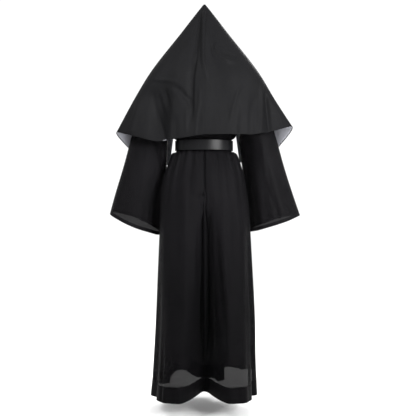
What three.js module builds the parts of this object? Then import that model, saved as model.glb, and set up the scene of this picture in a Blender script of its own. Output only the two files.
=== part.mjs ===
// A nun costume as worn: a full-length robe with bell sleeves, a leather belt, and a pointed veil with a pale lining.
// Millimetres, +Z up. The wearer faces +Y and +X is the wearer's right hand side. The origin is the middle of the
// neck at the height of the shoulders, where the wearer carries the costume. Every cloth piece is a thin open wall.
import * as THREE from "three";

// Driving dimensions.
const ROBE_CLOTH = 1.5;
const ROBE_HEM_CLOTH = 2.4;
const VEIL_CLOTH = 1.2;
const LINING_CLOTH = 1.0;
const LEATHER = 2.6;
const SEAM_GAP = 0.3;
const HEM_Z = -1450;
const HEM_TURN_UP = 62;
const UNDERARM_Z = -230;
const SHOULDER_TIP = { x: 187, z: -38 };
const NECK = { x: 78, z: 12, back: 70, front: 82, backDrop: 12, frontDrop: 66 };
const NECK_SHARE = 0.42;
const ARMHOLE_DEPTH = 64;
const UNDERARM_CLOTH = 4.5;
const BELT = { top: -378, bottom: -421, robeWidth: 117.5, robeDepth: 88 };
const WAIST_GATHERS = 20;
const VEIL_TOP_Z = 210;
const BLACK = 0x1d1d1f;
const PALE = 0xd9dbe6;
const HIDE = 0x161617;
const METAL = 0x8d8f94;

// Columns run once round the body, anticlockwise seen from above, from the seam on the +X side. The counts put a
// column on each side seam and on the centre-back seam.
const COLUMNS = 80;
const LEFT_SEAM = 40;
const BACK_SEAM = 60;

// The robe from hem to underarm. gather is the height of the small waves pressed in by the belt, and square bends
// the ring from an ellipse (1) towards a rounded box (under 1).
const ROBE_SECTIONS = [
  { z: HEM_Z, half: 226, back: 268, front: 276, shift: -2, gather: 0, square: 0.72 },
  { z: HEM_Z + HEM_TURN_UP, half: 222, back: 260, front: 266, shift: 0, gather: 0, square: 0.73 },
  { z: HEM_Z + HEM_TURN_UP + 4, half: 221.5, back: 259.5, front: 265.5, shift: 0, gather: 0, square: 0.73 },
  { z: -1290, half: 217, back: 246, front: 250, shift: 1, gather: 0, square: 0.75 },
  { z: -1160, half: 213, back: 228, front: 228, shift: 4, gather: 0, square: 0.77 },
  { z: -1020, half: 207, back: 209, front: 202, shift: 4, gather: 0, square: 0.8 },
  { z: -880, half: 200, back: 191, front: 176, shift: 3, gather: 0.6, square: 0.82 },
  { z: -750, half: 193.5, back: 174, front: 150, shift: 2, gather: 1.2, square: 0.85 },
  { z: -640, half: 187, back: 158, front: 130, shift: 0, gather: 2, square: 0.88 },
  { z: -545, half: 174, back: 142, front: 117, shift: -3, gather: 3.4, square: 0.9 },
  { z: -490, half: 157, back: 124, front: 110, shift: -1, gather: 4.6, square: 0.92 },
  { z: -448, half: 143, back: 108, front: 104, shift: -1, gather: 5, square: 0.94 },
  { z: BELT.bottom - 9, half: 131, back: 99, front: 97, shift: -2, gather: 5, square: 0.95 },
  { z: BELT.bottom - 4, half: BELT.robeWidth, back: BELT.robeDepth, front: BELT.robeDepth, shift: -2, gather: 4, square: 0.95 },
  { z: BELT.top + 4, half: BELT.robeWidth, back: BELT.robeDepth, front: BELT.robeDepth, shift: -2, gather: 4, square: 0.95 },
  { z: -358, half: 135, back: 100, front: 105, shift: -2, gather: 4.4, square: 0.94 },
  { z: -310, half: 148, back: 105, front: 115, shift: 0, gather: 2.4, square: 0.92 },
  { z: UNDERARM_Z, half: 165, back: 112, front: 120, shift: 0, gather: 0, square: 0.9 },
];

// Rows of the shoulder part, as shares of the way from the underarm up to the shoulder and neck line.
const YOKE_ROWS = [0.2, 0.4, 0.6, 0.8, 0.92, 1];

// The large folds of the skirt. at and half are degrees round the hem, depth is how far the cloth falls in (or
// stands out, if negative) at the hem, and from is the height where the fold begins.
const SKIRT_FOLDS = [
  { name: "centre back", at: 271, half: 22, depth: 165, from: -560 },
  { name: "right back", at: 337, half: 11, depth: 34, from: -620 },
  { name: "left back", at: 205, half: 12, depth: 20, from: -900 },
  { name: "left back lobe", at: 232, half: 14, depth: -8, from: -700 },
  { name: "right back lobe", at: 308, half: 14, depth: -14, from: -700 },
  { name: "right front", at: 38, half: 13, depth: 46, from: -700 },
  { name: "centre front right", at: 74, half: 13, depth: 78, from: -600 },
  { name: "centre front left", at: 108, half: 12, depth: 58, from: -640 },
  { name: "left front", at: 143, half: 14, depth: 50, from: -720 },
];

// Where the hem hangs above its own level: degrees round, half width in degrees, and rise.
const HEM_RISES = [
  { at: 271, half: 20, rise: 18 },
  { at: 112, half: 22, rise: 44 },
  { at: 30, half: 24, rise: 8 },
];

const SLEEVE_COLUMNS = 24;

// A bell sleeve from the armhole to the cuff. outer and inner are the points furthest from and nearest to the body
// in each ring, y is the ring's middle from back to front, deep its half depth, and lift how far the front side of
// the ring stands above the back side.
const LEFT_SLEEVE = [
  { outerX: 205, outerZ: -60, innerX: 168, innerZ: -238, y: 0, deep: 66, lift: 0 },
  { outerX: 221, outerZ: -84, innerX: 169, innerZ: -262, y: 2, deep: 67, lift: 0 },
  { outerX: 248, outerZ: -140, innerX: 167, innerZ: -300, y: 8, deep: 68, lift: 2 },
  { outerX: 280, outerZ: -240, innerX: 162, innerZ: -350, y: 20, deep: 70, lift: 5 },
  { outerX: 316, outerZ: -358, innerX: 161, innerZ: -425, y: 38, deep: 76, lift: 10 },
  { outerX: 350, outerZ: -478, innerX: 172, innerZ: -535, y: 57, deep: 88, lift: 18 },
  { outerX: 386, outerZ: -590, innerX: 184, innerZ: -650, y: 76, deep: 102, lift: 26 },
  { outerX: 415, outerZ: -689, innerX: 192, innerZ: -780, y: 92, deep: 116, lift: 35 },
];
const RIGHT_SLEEVE = [
  { outerX: 204, outerZ: -60, innerX: 168, innerZ: -238, y: 0, deep: 66, lift: 0 },
  { outerX: 219, outerZ: -84, innerX: 168, innerZ: -262, y: 2, deep: 67, lift: 0 },
  { outerX: 244, outerZ: -140, innerX: 162, innerZ: -300, y: 8, deep: 68, lift: 2 },
  { outerX: 270, outerZ: -240, innerX: 152, innerZ: -350, y: 20, deep: 70, lift: 5 },
  { outerX: 308, outerZ: -358, innerX: 156, innerZ: -425, y: 38, deep: 76, lift: 8 },
  { outerX: 343, outerZ: -478, innerX: 171, innerZ: -530, y: 57, deep: 88, lift: 12 },
  { outerX: 381, outerZ: -592, innerX: 182, innerZ: -645, y: 76, deep: 102, lift: 15 },
  { outerX: 418, outerZ: -696, innerX: 188, innerZ: -770, y: 92, deep: 116, lift: 18 },
];

// The ring just below the line where each sleeve is parted.
const UNDER_VEIL_RING = 3;

// The soft folds of each sleeve: degrees round the ring (0 outside, 90 at the back, 180 inside), half width, depth at
// the cuff, and the ring of the table where the fold begins.
const SLEEVE_FOLDS = {
  left: [
    { at: 122, half: 34, depth: 17, from: 2.2 },
    { at: 52, half: 34, depth: 9, from: 3.2 },
    { at: 236, half: 38, depth: 16, from: 2.6 },
    { at: 306, half: 36, depth: 13, from: 3.4 },
  ],
  right: [
    { at: 104, half: 36, depth: 14, from: 3 },
    { at: 40, half: 32, depth: 10, from: 3.6 },
    { at: 150, half: 30, depth: 8, from: 2.4 },
    { at: 250, half: 40, depth: 18, from: 2.8 },
    { at: 318, half: 34, depth: 12, from: 3.2 },
  ],
};

// Small helpers.
const lerp = THREE.MathUtils.lerp;
const smooth = THREE.MathUtils.smoothstep;
const radians = THREE.MathUtils.degToRad;
const bent = (value, power) => Math.sign(value) * Math.abs(value) ** power;
const angleApart = (a, b) => Math.abs(((a - b + 540) % 360) - 180);
const bump = (offset, half) => (offset >= half ? 0 : Math.cos((Math.PI / 2) * (offset / half)) ** 2);
const makeGrid = (rows, columns, pointAt) =>
  Array.from({ length: rows }, (_, r) => Array.from({ length: columns }, (_, c) => pointAt(r, c)));

// The outward normal at each point of a grid whose columns run anticlockwise and whose rows run upwards.
function gridNormals(grid, closed) {
  const rows = grid.length;
  const columns = grid[0].length;
  const column = (c) => (closed ? (c + columns) % columns : THREE.MathUtils.clamp(c, 0, columns - 1));
  const row = (r) => THREE.MathUtils.clamp(r, 0, rows - 1);
  return makeGrid(rows, columns, (r, c) => {
    const along = grid[r][column(c + 1)].clone().sub(grid[r][column(c - 1)]);
    const up = grid[row(r + 1)][c].clone().sub(grid[row(r - 1)][c]);
    return along.cross(up).normalize();
  });
}

// Moves each point of a grid inwards, against its normal, by a thickness that may differ from row to row.
function movedIn(grid, normals, depthAt) {
  return makeGrid(grid.length, grid[0].length, (r, c) =>
    grid[r][c].clone().addScaledVector(normals[r][c], -depthAt(r, c)),
  );
}

// The closed wall between an outer and an inner grid. A closed wall is a tube, and an open one has four rims.
function wallBetween(outer, inner, closed) {
  const rows = outer.length;
  const columns = outer[0].length;
  const positions = [];
  for (const layer of [outer, inner]) {
    for (const row of layer) {
      for (const point of row) positions.push(point.x, point.y, point.z);
    }
  }
  const faces = [];
  const quad = (a, b, c, d) => faces.push(a, b, c, a, c, d);
  const at = (layer, r, c) => layer * rows * columns + r * columns + (c % columns);
  const spans = closed ? columns : columns - 1;
  for (let c = 0; c < spans; c++) {
    for (let r = 0; r < rows - 1; r++) {
      quad(at(0, r, c), at(0, r, c + 1), at(0, r + 1, c + 1), at(0, r + 1, c));
      quad(at(1, r, c), at(1, r + 1, c), at(1, r + 1, c + 1), at(1, r, c + 1));
    }
    quad(at(0, 0, c), at(1, 0, c), at(1, 0, c + 1), at(0, 0, c + 1));
    quad(at(0, rows - 1, c), at(0, rows - 1, c + 1), at(1, rows - 1, c + 1), at(1, rows - 1, c));
  }
  if (!closed) {
    for (let r = 0; r < rows - 1; r++) {
      const end = columns - 1;
      quad(at(0, r, 0), at(0, r + 1, 0), at(1, r + 1, 0), at(1, r, 0));
      quad(at(0, r, end), at(1, r, end), at(1, r + 1, end), at(0, r + 1, end));
    }
  }
  const geometry = new THREE.BufferGeometry();
  geometry.setAttribute("position", new THREE.Float32BufferAttribute(positions, 3));
  geometry.setIndex(faces);
  geometry.computeVertexNormals();
  return geometry;
}

// Parts a wall in two halfway between one row and the next, a seam's gap apart, where something covers the gap. Each
// part is then simple enough for its collision pieces to follow.
function partedWall({ outer, inner }, row, closed) {
  const cut = (grid, away) =>
    grid[row].map((point, c) => {
      const along = grid[row + 1][c].clone().sub(point);
      return point.clone().addScaledVector(along, 0.5).addScaledVector(along.normalize(), away);
    });
  const half = SEAM_GAP / 2;
  const lower = (grid) => [...grid.slice(0, row + 1), cut(grid, -half)];
  const upper = (grid) => [cut(grid, half), ...grid.slice(row + 1)];
  return {
    lower: wallBetween(lower(outer), lower(inner), closed),
    upper: wallBetween(upper(outer), upper(inner), closed),
  };
}

function namedMesh(name, geometry, color, roughness, metalness = 0) {
  const material = new THREE.MeshStandardMaterial({ color, roughness, metalness, side: THREE.DoubleSide });
  const mesh = new THREE.Mesh(geometry, material);
  mesh.name = name;
  return mesh;
}

// The robe's body.

function foldDepth(degrees, z) {
  return SKIRT_FOLDS.reduce((sum, fold) => {
    const grown = THREE.MathUtils.clamp((fold.from - z) / (fold.from - HEM_Z), 0, 1);
    return sum + fold.depth * grown * bump(angleApart(degrees, fold.at), fold.half);
  }, 0);
}

function hemRise(degrees) {
  return HEM_RISES.reduce((sum, rise) => sum + rise.rise * bump(angleApart(degrees, rise.at), rise.half), 0);
}

// A point of the ring at one section, at an angle round it, with the folds let in towards the middle.
function ringPoint(section, degrees, extra = 0) {
  const angle = radians(degrees);
  const deep = Math.sin(angle) < 0 ? section.back : section.front;
  const point = new THREE.Vector3(
    section.half * bent(Math.cos(angle), section.square),
    deep * bent(Math.sin(angle), section.square),
    0,
  );
  const outward = point.clone().normalize();
  point.addScaledVector(outward, extra - foldDepth(degrees, section.z));
  point.x += section.shift;
  point.z = section.z;
  return point;
}

// The angles of one panel's columns at the hem, spread evenly along the folded outline.
function hemAngles(firstColumn, lastColumn) {
  const steps = 600;
  const from = (360 * firstColumn) / COLUMNS;
  const to = (360 * lastColumn) / COLUMNS;
  const angles = Array.from({ length: steps + 1 }, (_, i) => lerp(from, to, i / steps));
  const points = angles.map((degrees) => ringPoint(ROBE_SECTIONS[0], degrees));
  const lengths = [0];
  for (let i = 1; i <= steps; i++) lengths.push(lengths[i - 1] + points[i].distanceTo(points[i - 1]));
  const columns = lastColumn - firstColumn;
  return Array.from({ length: columns + 1 }, (_, c) => {
    const wanted = (lengths[steps] * c) / columns;
    const i = Math.max(1, lengths.findIndex((length) => length >= wanted - 1e-6));
    const share = (wanted - lengths[i - 1]) / (lengths[i] - lengths[i - 1]);
    return lerp(angles[i - 1], angles[i], share);
  });
}

const HEM_ANGLES = [
  ...hemAngles(0, LEFT_SEAM),
  ...hemAngles(LEFT_SEAM, BACK_SEAM).slice(1),
  ...hemAngles(BACK_SEAM, COLUMNS).slice(1),
];

// The waves pressed in by the belt, in their own uneven heights, with a hollow at each seam.
function gatherWave(column) {
  const wave = -Math.cos((2 * Math.PI * WAIST_GATHERS * column) / COLUMNS);
  return wave * (0.82 + 0.18 * Math.sin(column * 1.7));
}

function skirtPoint(section, column) {
  const hemShare = smooth(BELT.bottom - section.z, 0, BELT.bottom - HEM_Z);
  const degrees = lerp((360 * column) / COLUMNS, HEM_ANGLES[column], hemShare);
  const point = ringPoint(section, degrees, section.gather * gatherWave(column));
  const low = THREE.MathUtils.clamp((-1100 - section.z) / (-1100 - HEM_Z), 0, 1);
  point.z += hemRise(degrees) * low;
  return point;
}

// The shoulder and neck line above a column: the shoulder seam outside the neck, and the neckline between.
function topLinePoint(column, inFront) {
  const place = inFront ? 1 - (2 * column) / LEFT_SEAM : (2 * (column - LEFT_SEAM)) / LEFT_SEAM - 1;
  const side = Math.sign(place);
  const apart = Math.abs(place);
  if (apart >= NECK_SHARE) {
    const share = (apart - NECK_SHARE) / (1 - NECK_SHARE);
    return new THREE.Vector3(
      side * lerp(NECK.x, SHOULDER_TIP.x, share),
      0,
      lerp(NECK.z, SHOULDER_TIP.z, share),
    );
  }
  const turn = (Math.PI / 2) * (apart / NECK_SHARE);
  const deep = inFront ? NECK.front : -NECK.back;
  const drop = inFront ? NECK.frontDrop : NECK.backDrop;
  return new THREE.Vector3(
    side * NECK.x * Math.sin(turn),
    deep * Math.cos(turn),
    NECK.z - drop * Math.cos(turn) ** 1.4,
  );
}

function yokePoint(share, column, inFront) {
  const low = skirtPoint(ROBE_SECTIONS.at(-1), column);
  const high = topLinePoint(column, inFront);
  const nearArm = Math.abs(Math.cos((2 * Math.PI * column) / COLUMNS)) ** 3;
  const armhole = ARMHOLE_DEPTH * Math.sin(Math.PI * share) * nearArm * (inFront ? 1 : -1);
  const roundOver = Math.sqrt(1 - share * share);
  return new THREE.Vector3(
    lerp(low.x, high.x, share),
    high.y + (low.y - high.y) * roundOver + armhole,
    lerp(low.z, high.z, share),
  );
}

const ROBE_ROWS = ROBE_SECTIONS.length + YOKE_ROWS.length;
const UNDERARM_ROW = ROBE_SECTIONS.length - 1;
const ARMHOLE_MIDDLE_Z = (UNDERARM_Z + SHOULDER_TIP.z) / 2;

// The robe's points between two columns, from hem to shoulder.
function robeGrid(firstColumn, lastColumn, inFront) {
  return makeGrid(ROBE_ROWS, lastColumn - firstColumn + 1, (r, c) => {
    const column = firstColumn + c;
    if (r <= UNDERARM_ROW) return skirtPoint(ROBE_SECTIONS[r], column);
    return yokePoint(YOKE_ROWS[r - UNDERARM_ROW - 1], column, inFront);
  });
}

const frontGrid = robeGrid(0, LEFT_SEAM, true);
const backGrid = robeGrid(LEFT_SEAM, COLUMNS, false);

// The normals of front and back. Up to the underarm they are one ring, and along a shoulder seam they share a
// normal, so that both sides of a seam have the same edge.
function robeNormals() {
  const front = gridNormals(frontGrid, false);
  const back = gridNormals(backGrid, false);
  const ring = frontGrid.map((row, r) => [...row, ...backGrid[r].slice(1, -1)]);
  const around = gridNormals(ring, true);
  for (let r = 0; r <= UNDERARM_ROW; r++) {
    for (let c = 0; c <= LEFT_SEAM; c++) {
      front[r][c].copy(around[r][c]);
      back[r][c].copy(around[r][(LEFT_SEAM + c) % COLUMNS]);
    }
  }
  const top = ROBE_ROWS - 1;
  for (let c = 0; c <= LEFT_SEAM; c++) {
    if (Math.abs(1 - (2 * c) / LEFT_SEAM) < NECK_SHARE) continue;
    const opposite = back[top][LEFT_SEAM - c];
    const shared = front[top][c].clone().add(opposite).setY(0).normalize();
    front[top][c].copy(shared);
    opposite.copy(shared);
  }
  return { front, back };
}

const normalsOf = robeNormals();

// On an armhole's edge the thickness points away from the middle of the armhole, as it does on the sleeve.
function armholeNormal(point) {
  return new THREE.Vector3(0, point.y, point.z - ARMHOLE_MIDDLE_Z).normalize();
}

// One panel of the robe, from one seam column to another, drawn in from its seams by half the gap.
function robePanel(grid, gridNormal, firstColumn, lastColumn, armholes, front) {
  const outer = grid.map((row) => row.slice(firstColumn, lastColumn + 1).map((point) => point.clone()));
  const normals = gridNormal.map((row) => row.slice(firstColumn, lastColumn + 1).map((n) => n.clone()));
  for (let r = UNDERARM_ROW; r < ROBE_ROWS; r++) {
    for (const c of armholes) normals[r][c].copy(armholeNormal(outer[r][c]));
  }
  const inner = movedIn(outer, normals, (r, c) => {
    if (r === UNDERARM_ROW && armholes.includes(c)) return UNDERARM_CLOTH;
    return r <= 1 ? ROBE_HEM_CLOTH : ROBE_CLOTH;
  });
  const half = SEAM_GAP / 2;
  const last = lastColumn - firstColumn;
  for (const layer of [outer, inner]) {
    for (let r = 0; r < ROBE_ROWS; r++) {
      for (const [edge, next] of [[0, 1], [last, last - 1]]) {
        if (r > UNDERARM_ROW && armholes.includes(edge)) continue;
        const away = layer[r][next].clone().sub(layer[r][edge]).normalize();
        layer[r][edge].addScaledVector(away, half);
      }
    }
    for (const point of layer[ROBE_ROWS - 1]) {
      if (Math.abs(point.y) < half) point.y = front ? half : -half;
    }
  }
  return { outer, inner };
}

const BACK_MIDDLE = BACK_SEAM - LEFT_SEAM;
const frontPanel = robePanel(frontGrid, normalsOf.front, 0, LEFT_SEAM, [0, LEFT_SEAM], true);
const backLeftPanel = robePanel(backGrid, normalsOf.back, 0, BACK_MIDDLE, [0], false);
const backRightPanel = robePanel(backGrid, normalsOf.back, BACK_MIDDLE, LEFT_SEAM, [BACK_MIDDLE], false);

// Each panel is parted under the belt.
const BELT_ROW = ROBE_SECTIONS.findIndex((section) => section.z > BELT.bottom) - 1;
const frontWalls = partedWall(frontPanel, BELT_ROW, false);
const backLeftWalls = partedWall(backLeftPanel, BELT_ROW, false);
const backRightWalls = partedWall(backRightPanel, BELT_ROW, false);

// The sleeves.

// The rim of one armhole as a ring of points, from the shoulder tip down the back and up the front. Each row of the
// yoke gives a corner, and the point between two corners lies halfway.
function armholeRing(layer, side) {
  const backPanel = side > 0 ? backRightPanel : backLeftPanel;
  const backColumn = side > 0 ? BACK_MIDDLE : 0;
  const frontColumn = side > 0 ? 0 : LEFT_SEAM;
  const corners = [];
  for (let r = ROBE_ROWS - 1; r > UNDERARM_ROW; r--) corners.push(backPanel[layer][r][backColumn]);
  for (let r = UNDERARM_ROW; r < ROBE_ROWS - 1; r++) corners.push(frontPanel[layer][r][frontColumn]);
  return corners.flatMap((corner, i) => {
    const next = corners[(i + 1) % corners.length];
    return [corner.clone(), corner.clone().lerp(next, 0.5)];
  });
}

function sleeveRing(row, level, side) {
  const folds = side > 0 ? SLEEVE_FOLDS.right : SLEEVE_FOLDS.left;
  const deep = (row.outerX - row.innerX) / 2;
  return Array.from({ length: SLEEVE_COLUMNS }, (_, c) => {
    const degrees = (360 * c) / SLEEVE_COLUMNS;
    const turn = radians(degrees);
    const inwards = folds.reduce((sum, fold) => {
      const grown = Math.max(0, (level - fold.from) / (LEFT_SLEEVE.length - 1 - fold.from));
      return sum + fold.depth * grown * bump(angleApart(degrees, fold.at), fold.half);
    }, 0);
    const share = (1 - Math.cos(turn)) / 2 + (inwards * Math.cos(turn)) / (2 * deep);
    const y = row.y - row.deep * bent(Math.sin(turn), 0.9) + inwards * Math.sin(turn);
    const lift = Math.sin(turn) < 0 ? 0.6 : 0.4;
    const x = lerp(row.outerX, row.innerX, share);
    const z = lerp(row.outerZ, row.innerZ, share) - row.lift * lift * Math.sin(turn);
    return new THREE.Vector3(side * x, y, z);
  });
}

// A sleeve's rings run from the cuff up to the armhole, and it is parted under the veil. On the left the ring turns
// the other way, to keep its columns anticlockwise seen from the hand.
function sleeveWalls(table, side) {
  const ordered = (ring) => (side > 0 ? ring : [ring[0], ...ring.slice(1).reverse()]);
  const rings = table.map((row, level) => ordered(sleeveRing(row, level, side))).reverse();
  const moved = (ring) => ring.map((point) => point.setX(point.x + side * SEAM_GAP));
  const startOuter = ordered(moved(armholeRing("outer", side)));
  const startInner = ordered(moved(armholeRing("inner", side)));
  const outer = [...rings, startOuter];
  const normals = gridNormals(outer, true);
  const inner = movedIn(outer, normals, () => ROBE_CLOTH);
  inner[inner.length - 1] = startInner;
  return partedWall({ outer, inner }, table.length - 1 - UNDER_VEIL_RING, true);
}

const leftSleeve = sleeveWalls(LEFT_SLEEVE, -1);
const rightSleeve = sleeveWalls(RIGHT_SLEEVE, 1);

// The belt and its buckle.

const beltSection = {
  z: 0,
  half: BELT.robeWidth,
  back: BELT.robeDepth,
  front: BELT.robeDepth,
  shift: -2,
  gather: 0,
  square: 0.95,
};
const BELT_CLEAR = 4.35;
const BELT_MIDDLE = (BELT.top + BELT.bottom) / 2;
const BUCKLE = { at: 84, across: 40, height: 47.4, rod: 1.6 };
const PRONG_ROD = 1.2;
const KEEPER = { at: 112, width: 9, wall: 1.5 };
const STRAP_LAP = 40;
const STRAP_RAISED = 2.2;

// Degrees round the front of the waist for a length in millimetres.
const degreesFor = (length) => length / BELT.robeWidth / radians(1);
const TIP_BAR = BUCKLE.at - degreesFor(BUCKLE.across / 2);
const HEEL_BAR = BUCKLE.at + degreesFor(BUCKLE.across / 2);
const STRAP_START = HEEL_BAR + degreesFor(BUCKLE.rod + 0.5);

// A point on the belt's line: degrees round the waist, distance outwards from the robe, height.
function beltPoint(degrees, out, z) {
  return ringPoint(beltSection, degrees, BELT_CLEAR + out).setZ(z);
}

// How far the strap's inner face stands off its own line. It starts raised, where the keeper passes behind it,
// lies close round the waist, and ends on top of its own start.
function strapRise(turned) {
  const start = STRAP_RAISED * (1 - smooth(turned, STRAP_LAP - 6, STRAP_LAP + 8));
  const rising = 360 + TIP_BAR - STRAP_START;
  const end = (STRAP_RAISED + LEATHER + 0.4) * smooth(turned, rising + 2, rising + degreesFor(0.62 * BUCKLE.across));
  return start + end;
}

function beltWall() {
  const length = 360 + STRAP_LAP;
  const steps = 84;
  const tipFrom = length - 8;
  const stations = Array.from({ length: steps + 1 }, (_, i) => {
    const turned = (length * i) / steps;
    const narrow = turned > tipFrom ? 0.42 * smooth(turned, tipFrom, length) : 0;
    const halfHeight = ((BELT.top - BELT.bottom) / 2) * (1 - narrow);
    return [0, LEATHER].map((out) =>
      [-halfHeight, halfHeight].map((up) =>
        beltPoint(STRAP_START + turned, out + strapRise(turned), BELT_MIDDLE + up),
      ),
    );
  });
  const outer = makeGrid(2, steps + 1, (r, c) => stations[c][1][r]);
  const inner = makeGrid(2, steps + 1, (r, c) => stations[c][0][r]);
  return wallBetween(outer, inner, false);
}

// A round rod along a closed or open line.
function rod(points, radius, closed) {
  const path = new THREE.CatmullRomCurve3(points, closed, "centripetal");
  const sides = 8;
  const corners = Array.from({ length: sides }, (_, i) => {
    const turn = (2 * Math.PI * i) / sides;
    return new THREE.Vector2(radius * Math.cos(turn), radius * Math.sin(turn));
  });
  return new THREE.ExtrudeGeometry(new THREE.Shape(corners), { steps: closed ? 28 : 8, extrudePath: path });
}

// The frame's far bar lies over the strap, and its near bar under the strap's end.
function buckleFrame() {
  const over = LEATHER + 0.4 + BUCKLE.rod;
  const under = 0.25 + BUCKLE.rod;
  const outline = [
    [-1, -0.72], [-1, 0], [-1, 0.72], [-0.78, 1], [0, 1], [0.78, 1],
    [1, 0.72], [1, 0], [1, -0.72], [0.78, -1], [0, -1], [-0.78, -1],
  ];
  const points = outline.map(([across, up]) =>
    beltPoint(
      BUCKLE.at + across * degreesFor(BUCKLE.across / 2),
      lerp(over, under, smooth(across, -0.8, 0.8)),
      BELT_MIDDLE + up * (BUCKLE.height / 2),
    ),
  );
  return rod(points, BUCKLE.rod, true);
}

// The prong comes up through the strap and rests on the far bar.
function buckleProng() {
  const onStrap = (degrees) => strapRise(360 + degrees - STRAP_START) + LEATHER + 0.35 + PRONG_ROD;
  const onBar = LEATHER + 0.4 + 2 * BUCKLE.rod + 0.35 + PRONG_ROD;
  const root = BUCKLE.at + degreesFor(0.2 * BUCKLE.across);
  const points = [
    beltPoint(root, onStrap(root), BELT_MIDDLE),
    beltPoint(lerp(root, TIP_BAR, 0.35), lerp(onStrap(root), onBar, 0.4) + 0.4, BELT_MIDDLE),
    beltPoint(lerp(root, TIP_BAR, 0.7), onBar + 0.4, BELT_MIDDLE),
    beltPoint(TIP_BAR, onBar, BELT_MIDDLE),
    beltPoint(TIP_BAR - degreesFor(2.6), onBar - 0.2, BELT_MIDDLE),
  ];
  return rod(points, PRONG_ROD, false);
}

// A flat loop round both layers of the strap.
function keeperLoop() {
  const halfHeight = (BELT.top - BELT.bottom) / 2 + 0.6;
  const inside = STRAP_RAISED - 0.35;
  const outside = STRAP_RAISED + 2 * LEATHER + 0.4 + 0.35;
  const layer = (thick) =>
    makeGrid(2, 4, (r, c) => {
      const out = c === 0 || c === 3 ? inside - thick : outside + thick;
      const up = c < 2 ? -halfHeight - thick : halfHeight + thick;
      return beltPoint(KEEPER.at + (0.5 - r) * degreesFor(KEEPER.width), out, BELT_MIDDLE + up);
    });
  return wallBetween(layer(KEEPER.wall), layer(0), true);
}

// The veil. Each row is a line down the cloth, from the point of the hood to the hem, given by where it passes the
// crown, the shoulder, the arm and the hem. round is its place between the centre back (0) and the front edge (1),
// and leftLower is how much lower the left half hangs there.
const VEIL_LINES = [
  { round: 0.0, crown: [0, -52, 88], shoulder: [0, -120, -90], arm: [0, -139, -225], hem: [0, -152, -362], leftLower: 0 },
  { round: 0.16, crown: [38, -49, 88], shoulder: [80, -115, -90], arm: [94, -130, -228], hem: [110, -146, -360], leftLower: 17 },
  { round: 0.32, crown: [70, -38, 88], shoulder: [158, -90, -88], arm: [186, -106, -224], hem: [214, -120, -357], leftLower: 24 },
  { round: 0.46, crown: [92, -20, 88], shoulder: [214, -50, -84], arm: [266, -62, -210], hem: [316, -70, -332], leftLower: 26 },
  { round: 0.56, crown: [99, -2, 88], shoulder: [232, -6, -84], arm: [306, -14, -208], hem: [378, -22, -320], leftLower: 24 },
  { round: 0.66, crown: [97, 16, 89], shoulder: [222, 44, -86], arm: [290, 58, -222], hem: [336, 72, -385], leftLower: 16 },
  { round: 0.78, crown: [88, 36, 92], shoulder: [190, 86, -90], arm: [248, 116, -232], hem: [292, 142, -432], leftLower: 14 },
  { round: 0.89, crown: [78, 47, 96], shoulder: [142, 108, -90], arm: [184, 134, -236], hem: [226, 160, -454], leftLower: 12 },
  { round: 1.0, crown: [68, 54, 100], shoulder: [96, 116, -86], arm: [124, 138, -234], hem: [156, 160, -462], leftLower: 12 },
];

// The veil's soft folds. at is the place round (negative on the left), half its half width, and depth how far the
// cloth falls in (or stands out, if negative). Down the cloth it grows between from and full and is gone at end,
// in levels: 1 the cap, 2 the crown, 3 the shoulder, 4 the arm, 5 the hem.
const VEIL_FOLDS = [
  { name: "ridge of the back seam", at: 0, half: 0.09, depth: -7, from: 0.8, full: 1.8, end: 3.4 },
  { name: "left of the seam", at: -0.115, half: 0.09, depth: 9, from: 1.2, full: 2.6, end: 5.2 },
  { name: "right of the seam", at: 0.12, half: 0.09, depth: 7, from: 1.4, full: 2.2, end: 3.6 },
  { name: "left shoulder", at: -0.31, half: 0.12, depth: 24, from: 2.7, full: 4, end: 7 },
  { name: "right shoulder blade", at: 0.22, half: 0.1, depth: -8, from: 2.8, full: 3.7, end: 5.2 },
  { name: "right arm", at: 0.42, half: 0.11, depth: 15, from: 3.1, full: 4.4, end: 8 },
  { name: "left front", at: -0.8, half: 0.11, depth: 12, from: 3, full: 4.4, end: 8 },
  { name: "right front", at: 0.84, half: 0.11, depth: 14, from: 2.8, full: 4.2, end: 8 },
];
const VEIL_TIP_RADIUS = 9;
const VEIL_COLUMNS = 18;
const VEIL_LEVELS = [0, 0.5, 1, 1.5, 2, 2.33, 2.67, 3, 3.35, 3.7, 4, 4.5, 5];

// The places of one line of the veil, with the rounded tip and cap added above the crown.
function veilStations(line, side) {
  const turn = radians(-90 + 180 * line.round);
  const ringAt = (radius, z) =>
    new THREE.Vector3(side * radius * Math.cos(turn), radius * Math.sin(turn), z);
  const at = ([x, y, z]) => new THREE.Vector3(side * x, y, z);
  const hem = at(line.hem);
  if (side < 0) hem.z -= line.leftLower;
  const tip = ringAt(0.6, VEIL_TOP_Z);
  const cap = ringAt(VEIL_TIP_RADIUS, VEIL_TOP_Z - 7);
  return [tip, cap, at(line.crown), at(line.shoulder), at(line.arm), hem];
}

function veilPoint(side, round, level) {
  const lines = VEIL_LINES.map((line) => veilStations(line, side));
  const rounds = VEIL_LINES.map((line) => line.round);
  const upper = Math.max(1, rounds.findIndex((value) => value >= round - 1e-9));
  const share = (round - rounds[upper - 1]) / (rounds[upper] - rounds[upper - 1]);
  const along = (upper - 1 + share) / (rounds.length - 1);
  const downTheCloth = Array.from({ length: 6 }, (_, place) => {
    const across = new THREE.CatmullRomCurve3(lines.map((line) => line[place]), false, "centripetal");
    return across.getPoint(along);
  });
  return new THREE.CatmullRomCurve3(downTheCloth, false, "centripetal").getPoint(level / 5);
}

function veilFold(round, level) {
  return VEIL_FOLDS.reduce((sum, fold) => {
    const along = smooth(level, fold.from, fold.full) * (1 - smooth(level, fold.full, fold.end));
    return sum + fold.depth * along * bump(Math.abs(round - fold.at), fold.half);
  }, 0);
}

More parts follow.
